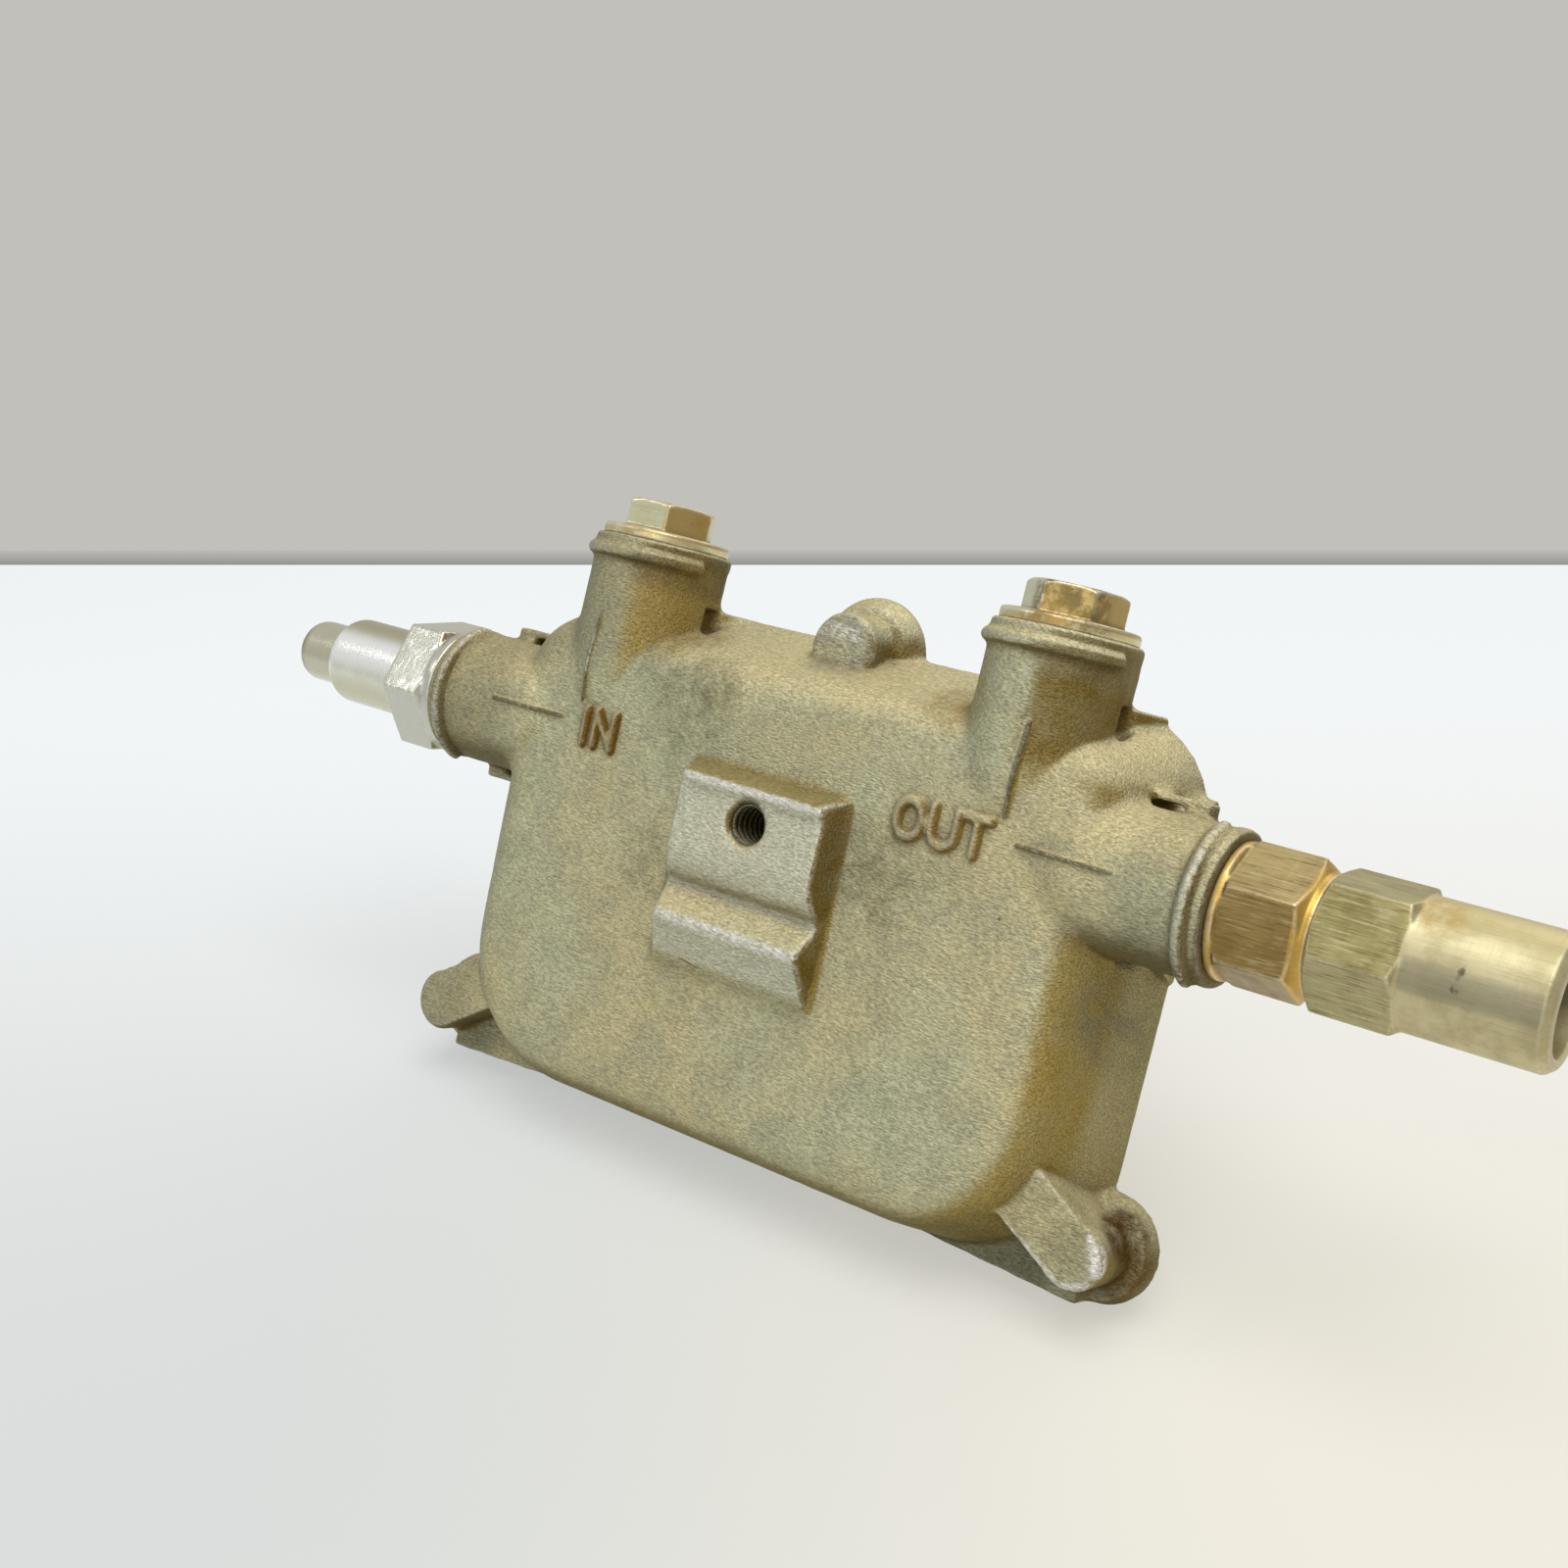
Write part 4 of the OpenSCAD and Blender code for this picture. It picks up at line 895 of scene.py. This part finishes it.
def letter_strokes():
    """The words IN and OUT, cast in relief beside the gauge lines."""
    bottom, top = -2.3, 3.5
    middle, half = (top + bottom) / 2, (top - bottom) / 2
    return [
        [(-40.3, bottom), (-40.3, top)],
        [(-37.9, bottom), (-37.9, top)],
        [(-37.9, top), (-34.0, bottom)],
        [(-34.0, bottom), (-34.0, top)],
        arc((26.3, middle), (2.3, half), 0, 360, 24),
        [(30.3, top), (30.3, bottom + 2.2)] + arc((32.5, bottom + 2.2), (2.2, 2.2), 180, 360, 12)
        + [(34.7, top)],
        [(36.2, top), (40.2, top)],
        [(38.2, top), (38.2, bottom)],
    ]


def gauge_strokes():
    """Thin raised lines that show where a cable's core is cut."""
    return [
        divided((-42.1, 4.9), (-40.8, 19.5)),
        divided((-60.5, 1.1), (-46.0, 1.1)),
        divided((42.05, 4.8), (43.1, 19.3)),
        divided((45.2, 1.1), (61.4, 1.1)),
    ]


# Pieces

def port_frame(points):
    """Points of the part's frame in metres, as millimetres of the port frame."""
    return points / MM - np.array(PORT_ORIGIN)


def steps(values, low, high):
    """A smooth step of an array from zero at low to one at high."""
    t = np.clip((values - low) / (high - low), 0, 1)
    return t * t * (3 - 2 * t)


def inside_housing(places, normals):
    """True for points on the inner side of the casting: those that look out through its open back."""
    x, y, z = places.T
    towards = np.maximum(normals[:, 1], 1e-6)
    reach = (JOINT_Y - y) / towards
    hit_x, hit_z = x + normals[:, 0] * reach, z + normals[:, 2] * reach
    through = (np.abs(hit_x) < 60.5) & (hit_z > -58.5) & (hit_z < 20.5)
    hollow = (normals[:, 1] > 1e-3) & (y < JOINT_Y - 0.2) & through
    side_bore = (np.abs(x) > 52) & (np.hypot(y, z) < 9.7)
    top_bore = (z > 12) & (np.hypot(np.abs(x) - PORT_X, y) < 9.7)
    return hollow | side_bore | top_bore | (y > JOINT_Y - 0.2)


def port_ends(places):
    """One at the open ends of the four line ports."""
    x, z = np.abs(places[:, 0]), places[:, 2]
    return np.maximum(steps(x, 66.5, 69.0), steps(z, 26.2, 28.5) * (x > 20))


def crisp_parts(places):
    """One at the ports' ends, the clamp pad and the bolt bosses' fronts, which keep crisp edges."""
    x, y, z = np.abs(places[:, 0]), places[:, 1], places[:, 2]
    pad = steps(y, -10.3, -10.9) * (x < PAD_HALF) * (z > PAD_LOW) * (z < PAD_HIGH)
    lugs = steps(y, 0.5, -0.8) * (np.hypot(x - 63, z + 54) < 11)
    boss = steps(y, 3.0, 1.6) * (np.hypot(x, z - TOP_BOSS_Z) < 7)
    return np.maximum.reduce([port_ends(places), pad, lugs, boss])


def on_pad(places):
    """True on the clamp pad, with a little of its foot."""
    x, y, z = places.T
    return (np.abs(x) < PAD_HALF) & (y < -10.0) & (z > PAD_LOW - 1) & (z < PAD_HIGH)


def housing_wear(places, edge):
    """How worn each point of the casting is: most on the beads, the clamp pad and the lower right lug."""
    x, y, z = places.T
    side_r = np.hypot(y, z)
    top_r = np.hypot(np.abs(x) - PORT_X, y)
    low_r = np.hypot(x - LOW_BOSS_X, z - LOW_BOSS_Z)
    side_bead = steps(np.abs(x), 71.2, 71.8) * steps(side_r, 12.0, 12.5) * (np.abs(x) < 75.2)
    top_bead = steps(z, 28.8, 29.4) * steps(top_r, 12.0, 12.5) * (z < 32.8)
    zone = np.maximum(0.16, 0.8 * side_bead)
    left_side = steps(np.abs(x) - PORT_X, 1, -5) * (x > 0) + steps(PORT_X - np.abs(x), 1, -5) * (x < 0)
    on_top = 0.08 + 0.5 * left_side
    zone = np.maximum(zone, on_top * top_bead)
    zone[top_bead > 0.5] = on_top[top_bead > 0.5]
    for place, wear in (
            ((np.abs(x) < PAD_HALF - 0.5) & (y < -10.9) & (z > PAD_LOW) & (z < PAD_HIGH - 0.5), 0.9),
            ((low_r < 7.5) & (y < 1.5) & (z < -53), 0.9),
            ((low_r > 6.0) & (low_r < 12) & (y > 0), 0),
            ((np.hypot(x, z - TOP_BOSS_Z) < 8) & (y < 3), 0.4),
            ((np.abs(x + 42.1) < 1) & (z > 9) & (z < 20) & (y < -8), 0.9)):
        zone[place] = wear
    return zone * edge


def housing_skin(material):
    """The casting with its fillets, lettering and gauge lines."""
    skin = copy_node("back_housing", "housing_casting", HOUSING_VOXEL)
    surface = Surface(skin)
    places = port_frame(surface.points)
    free = (1 - crisp_parts(places)) * ~inside_housing(places, surface.normals)
    opening = np.where(on_pad(places), PAD_ROUNDS, np.where(port_ends(places) > 0.5, 1, 3))
    surface.soften(int((FILLET_REACH / HOUSING_VOXEL) ** 2), opening, free)
    depth_at = surface_depth(port_frame(surface.points))
    letters, lines = letter_strokes(), gauge_strokes()
    select_only(skin, *[ridge(points, *LETTER_RIDGE, depth_at) for points in letters],
                *[ridge(points, *LINE_RIDGE, depth_at) for points in lines])
    bpy.ops.object.join()
    remesh(skin, HOUSING_VOXEL)
    surface = Surface(skin)
    surface.soften(PAD_ROUNDS, np.where(on_pad(port_frame(surface.points)), PAD_ROUNDS, 1), 0.0)
    edge = surface.mark_curvature(1.2)
    places = port_frame(surface.points)
    inside = inside_housing(places, surface.normals)
    surface.uneven(CAST_WAVE, 16, ~inside)
    surface.store("wear", housing_wear(places, edge))
    front = places[:, 1] < -7
    surface.store("letter", front * steps(distance_to(places, letters), 1.25, 0.95))
    surface.store("line", front * steps(distance_to(places, lines), 0.52, 0.26))
    limit_triangles(skin, HOUSING_TRIANGLES, inside)
    dress(skin, material, "cast_housing", "back_housing")


def cover_skin(material):
    """The cover with rounded edges on its outer side."""
    skin = copy_node("face_plate", "cover_casting", COVER_VOXEL)
    surface = Surface(skin)
    places = port_frame(surface.points)
    outer = places[:, 1] > JOINT_Y + 0.6
    surface.soften(24, 3, 1.0 * outer)
    edge = surface.mark_curvature(1.6)
    surface.uneven(CAST_WAVE, 10, outer)
    for name, share in (("wear", 0.35), ("letter", 0), ("line", 0)):
        surface.store(name, share * edge)
    limit_triangles(skin, COVER_TRIANGLES, places[:, 1] < JOINT_Y + 0.3)
    dress(skin, material, "cast_housing", "face_plate")


def fitting_skin(node, name, material, slot):
    """A turned fitting with its sharp edges broken."""
    skin = copy_node(node, name, FITTING_VOXEL)
    surface = Surface(skin)
    surface.soften(FITTING_ROUNDS, FITTING_ROUNDS, 1.0)
    surface.mark_curvature(0.8)
    limit_triangles(skin, FITTING_TRIANGLES)
    dress(skin, material, slot, node)


def clamp_thread(material):
    """The thread in the strand clamp's hole, as a sloping ridge on its wall."""
    pitch, root_r, crest_r, half_w, crest_w = 1.41, 3.36, 2.92, 0.5, 0.08
    start, end, per_turn, taper = -13.6, -4.2, 32, 8
    count = int((end - start) / pitch * per_turn)
    verts, faces = [], []
    for k in range(count + 1):
        a = 2 * math.pi * k / per_turn
        y = start + pitch * k / per_turn
        crest = root_r + (crest_r - root_r) * min(1, k / taper, (count - k) / taper)
        for radius, shift in ((root_r, -half_w), (crest, -crest_w), (crest, crest_w), (root_r, half_w)):
            # The hole's axis is the Y axis of the part's frame
            z = radius * math.sin(a) - PORT_ORIGIN.z
            verts.append(port_point(radius * math.cos(a), y + shift, z))
    for k in range(count):
        for j in range(4):
            a, b = 4 * k + j, 4 * k + (j + 1) % 4
            faces.append((a, b, b + 4, a + 4))
    faces += [(3, 2, 1, 0), tuple(4 * count + j for j in range(4))]
    dress(mesh_object("clamp_thread", verts, faces), material, "cast_housing")


def assign_plain(node, material):
    thing = nodes[node]
    if thing.data.materials:
        for index in range(len(thing.data.materials)):
            thing.data.materials[index] = material
    else:
        thing.data.materials.append(material)


# Studio

def add_camera():
    camera = bpy.data.cameras.new("camera")
    camera.sensor_fit = "HORIZONTAL"
    camera.sensor_width = SENSOR_MM
    camera.lens = FOCAL_PIXELS / PHOTO_SIZE * SENSOR_MM
    camera.clip_start = 0.01
    camera.clip_end = 10
    thing = new_object("camera", camera)
    axes = (CAMERA_RIGHT, CAMERA_UP, CAMERA_BACK)
    turn = Matrix([axis.normalized() for axis in axes]).transposed()
    thing.matrix_world = Matrix.Translation(port_point(*CAMERA_PLACE)) @ turn.to_4x4()
    bpy.context.scene.camera = thing


def add_area_light(name, direction, distance, size, power, aim):
    light = bpy.data.lights.new(name, "AREA")
    light.shape = "DISK"
    light.size = size
    light.energy = power
    thing = new_object(name, light)
    offset = Vector(direction).normalized() * distance
    thing.location = offset + Vector(aim)
    thing.rotation_euler = offset.to_track_quat("Z", "Y").to_euler()


def seen_rays(tree):
    """One for the rays that show a surface: straight, in a reflection or through something clear."""
    path = tree.add("ShaderNodeLightPath")
    seen = tree.math("MAXIMUM", path.outputs["Is Camera Ray"], path.outputs["Is Glossy Ray"])
    return tree.math("MAXIMUM", seen, path.outputs["Is Transmission Ray"])


def blend_shaders(tree, share, first, second):
    return tree.add("ShaderNodeMixShader", {0: share, 1: first.outputs[0], 2: second.outputs[0]})


def add_world():
    """A plain wall colour to look at, and white light from all sides."""
    world = bpy.data.worlds.new("world")
    world.use_nodes = True
    tree = Nodes(world.node_tree)
    backdrop = tree.add("ShaderNodeBackground", {"Color": linear(*BACKDROP), "Strength": 1.0})
    light = tree.add("ShaderNodeBackground", {"Color": (1, 1, 1, 1), "Strength": WORLD_LIGHT})
    both = blend_shaders(tree, seen_rays(tree), light, backdrop)
    tree.add("ShaderNodeOutputWorld", {"Surface": both.outputs[0]})
    bpy.context.scene.world = world


def lowest_point(direction):
    """How low the part reaches against a direction, over the corners of its solids' meshes."""
    lowest = []
    for node in nodes.values():
        points = np.empty(len(node.data.vertices) * 3, np.float32)
        node.data.vertices.foreach_get("co", points)
        turn = np.array(node.matrix_world)
        points = points.reshape(-1, 3) @ turn[:3, :3].T + turn[:3, 3]
        lowest.append((points @ np.array(direction)).min())
    return min(lowest)


def table_mesh(centre, right, ahead):
    """A round sheet of rings and sectors."""
    verts, faces = [centre], []
    for ring in range(1, TABLE_RINGS + 1):
        r = TABLE_RADIUS * ring / TABLE_RINGS
        for sector in range(TABLE_SECTORS):
            a = 2 * math.pi * sector / TABLE_SECTORS
            verts.append(centre + right * (r * math.cos(a)) + ahead * (r * math.sin(a)))
    for sector in range(TABLE_SECTORS):
        faces.append((0, 1 + sector, 1 + (sector + 1) % TABLE_SECTORS))
    for ring in range(TABLE_RINGS - 1):
        near = 1 + ring * TABLE_SECTORS
        far = near + TABLE_SECTORS
        for sector in range(TABLE_SECTORS):
            after = (sector + 1) % TABLE_SECTORS
            faces.append((near + sector, far + sector, far + after, near + after))
    return mesh_object("floor", verts, faces)


def table_material(centre, up):
    """Cool and darker on the left as painted shade, warm on the right, white far off, a painted shadow at
    the wall, clear beyond and below.
    """
    material, tree = new_material("floor")
    camera_at = port_point(*CAMERA_PLACE)

    def past_camera(direction):
        distance = tree.measure("DOT_PRODUCT", tree.where, direction)
        return tree.math("SUBTRACT", distance, camera_at.dot(direction))

    past = past_camera((CAMERA_UP * FOCAL_PIXELS + CAMERA_BACK * TABLE_END_PIXELS).normalized())
    side = past_camera(CAMERA_RIGHT)
    ahead = past_camera(-(CAMERA_BACK - up * CAMERA_BACK.dot(up)).normalized())
    height = (camera_at - centre).dot(up)
    # Painted shade: the table darker and cooler on the left
    near = tree.mix(tree.ramp(side, -0.08, 0.08), FLOOR_LEFT_SHADE, FLOOR_RIGHT)
    shade = tree.mix(tree.ramp(ahead, height, 2.6 * height), near, FLOOR_FAR)
    # A painted shadow along the joint between the table and the wall
    joint = tree.mix(tree.ramp(past, 0, TABLE_JOINT, 0, 1, False), JOINT_SHADOW, BACKDROP)
    table = tree.mix(tree.ramp(past, -0.0003, 0), shade, joint)

    fade = tree.ramp(tree.measure("DISTANCE", tree.where, centre), 0.55, 1.0)
    fade = tree.math("MAXIMUM", fade, tree.ramp(past, 0.9 * TABLE_JOINT, TABLE_JOINT))
    fade = tree.math("MAXIMUM", fade, tree.add("ShaderNodeNewGeometry").outputs["Backfacing"])
    board = tree.add("ShaderNodeBsdfDiffuse", {"Color": table})
    pale = tree.add("ShaderNodeEmission", {"Color": table, "Strength": 1.0})
    lifted = blend_shaders(tree, tree.product(seen_rays(tree), FLOOR_LIFT), board, pale)
    both = blend_shaders(tree, fade, lifted, tree.add("ShaderNodeBsdfTransparent"))
    tree.add("ShaderNodeOutputMaterial", {"Surface": both.outputs[0]})
    return material


def add_floor():
    """A pale table under the leaning part, with a straight far edge and soft sides."""
    up = ROOM_UP.normalized()
    right = Vector((1, 0, 0))
    centre = up * lowest_point(up)
    floor = table_mesh(centre, right, up.cross(right))
    floor.data.materials.append(table_material(centre, up))


def build_studio():
    bpy.context.scene.view_settings.view_transform = "Standard"
    add_camera()
    add_world()
    add_floor()
    for lamp in LAMPS:
        add_area_light(*lamp)


# The whole

def dress_fittings():
    """Dresses the fittings, and gives back their materials by the record's slots."""
    plug, entry = plug_gold_material(), entry_body_material()
    barrel, silver = barrel_material(), terminator_material()
    for node, name, material, slot in (
            ("port_plug_left", "entry_plug_left", plug, "gold_chromate"),
            ("port_plug_right", "entry_plug_right", plug, "gold_chromate"),
            ("connector_body", "connector_entry", entry, "gold_chromate"),
            ("connector_nut", "connector_barrel", barrel, "olive_chromate"),
            ("terminator_body", "terminator_shell", silver, "pale_aluminium"),
            ("terminator_cap", "terminator_tip", silver, "pale_aluminium")):
        fitting_skin(node, name, material, slot)
    return {"gold_chromate": plug, "olive_chromate": barrel, "pale_aluminium": silver}


def dress_plain_nodes(materials):
    """Gives every CAD node the material of its slot, and the subscriber ports their thread."""
    for part in frame["record"]["subparts"]:
        assign_plain(part["node"], materials[part["material_slot"]])
    threaded = threaded_port_material()
    for number in (1, 2, 3, 4):
        assign_plain(f"tap_port_{number}", threaded)


def main():
    build_studio()
    cast = cast_material()
    housing_skin(cast)
    cover_skin(cast)
    clamp_thread(cast)
    dress_plain_nodes({"cast_housing": cast, **dress_fittings(), **inner_materials()})
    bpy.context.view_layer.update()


main()
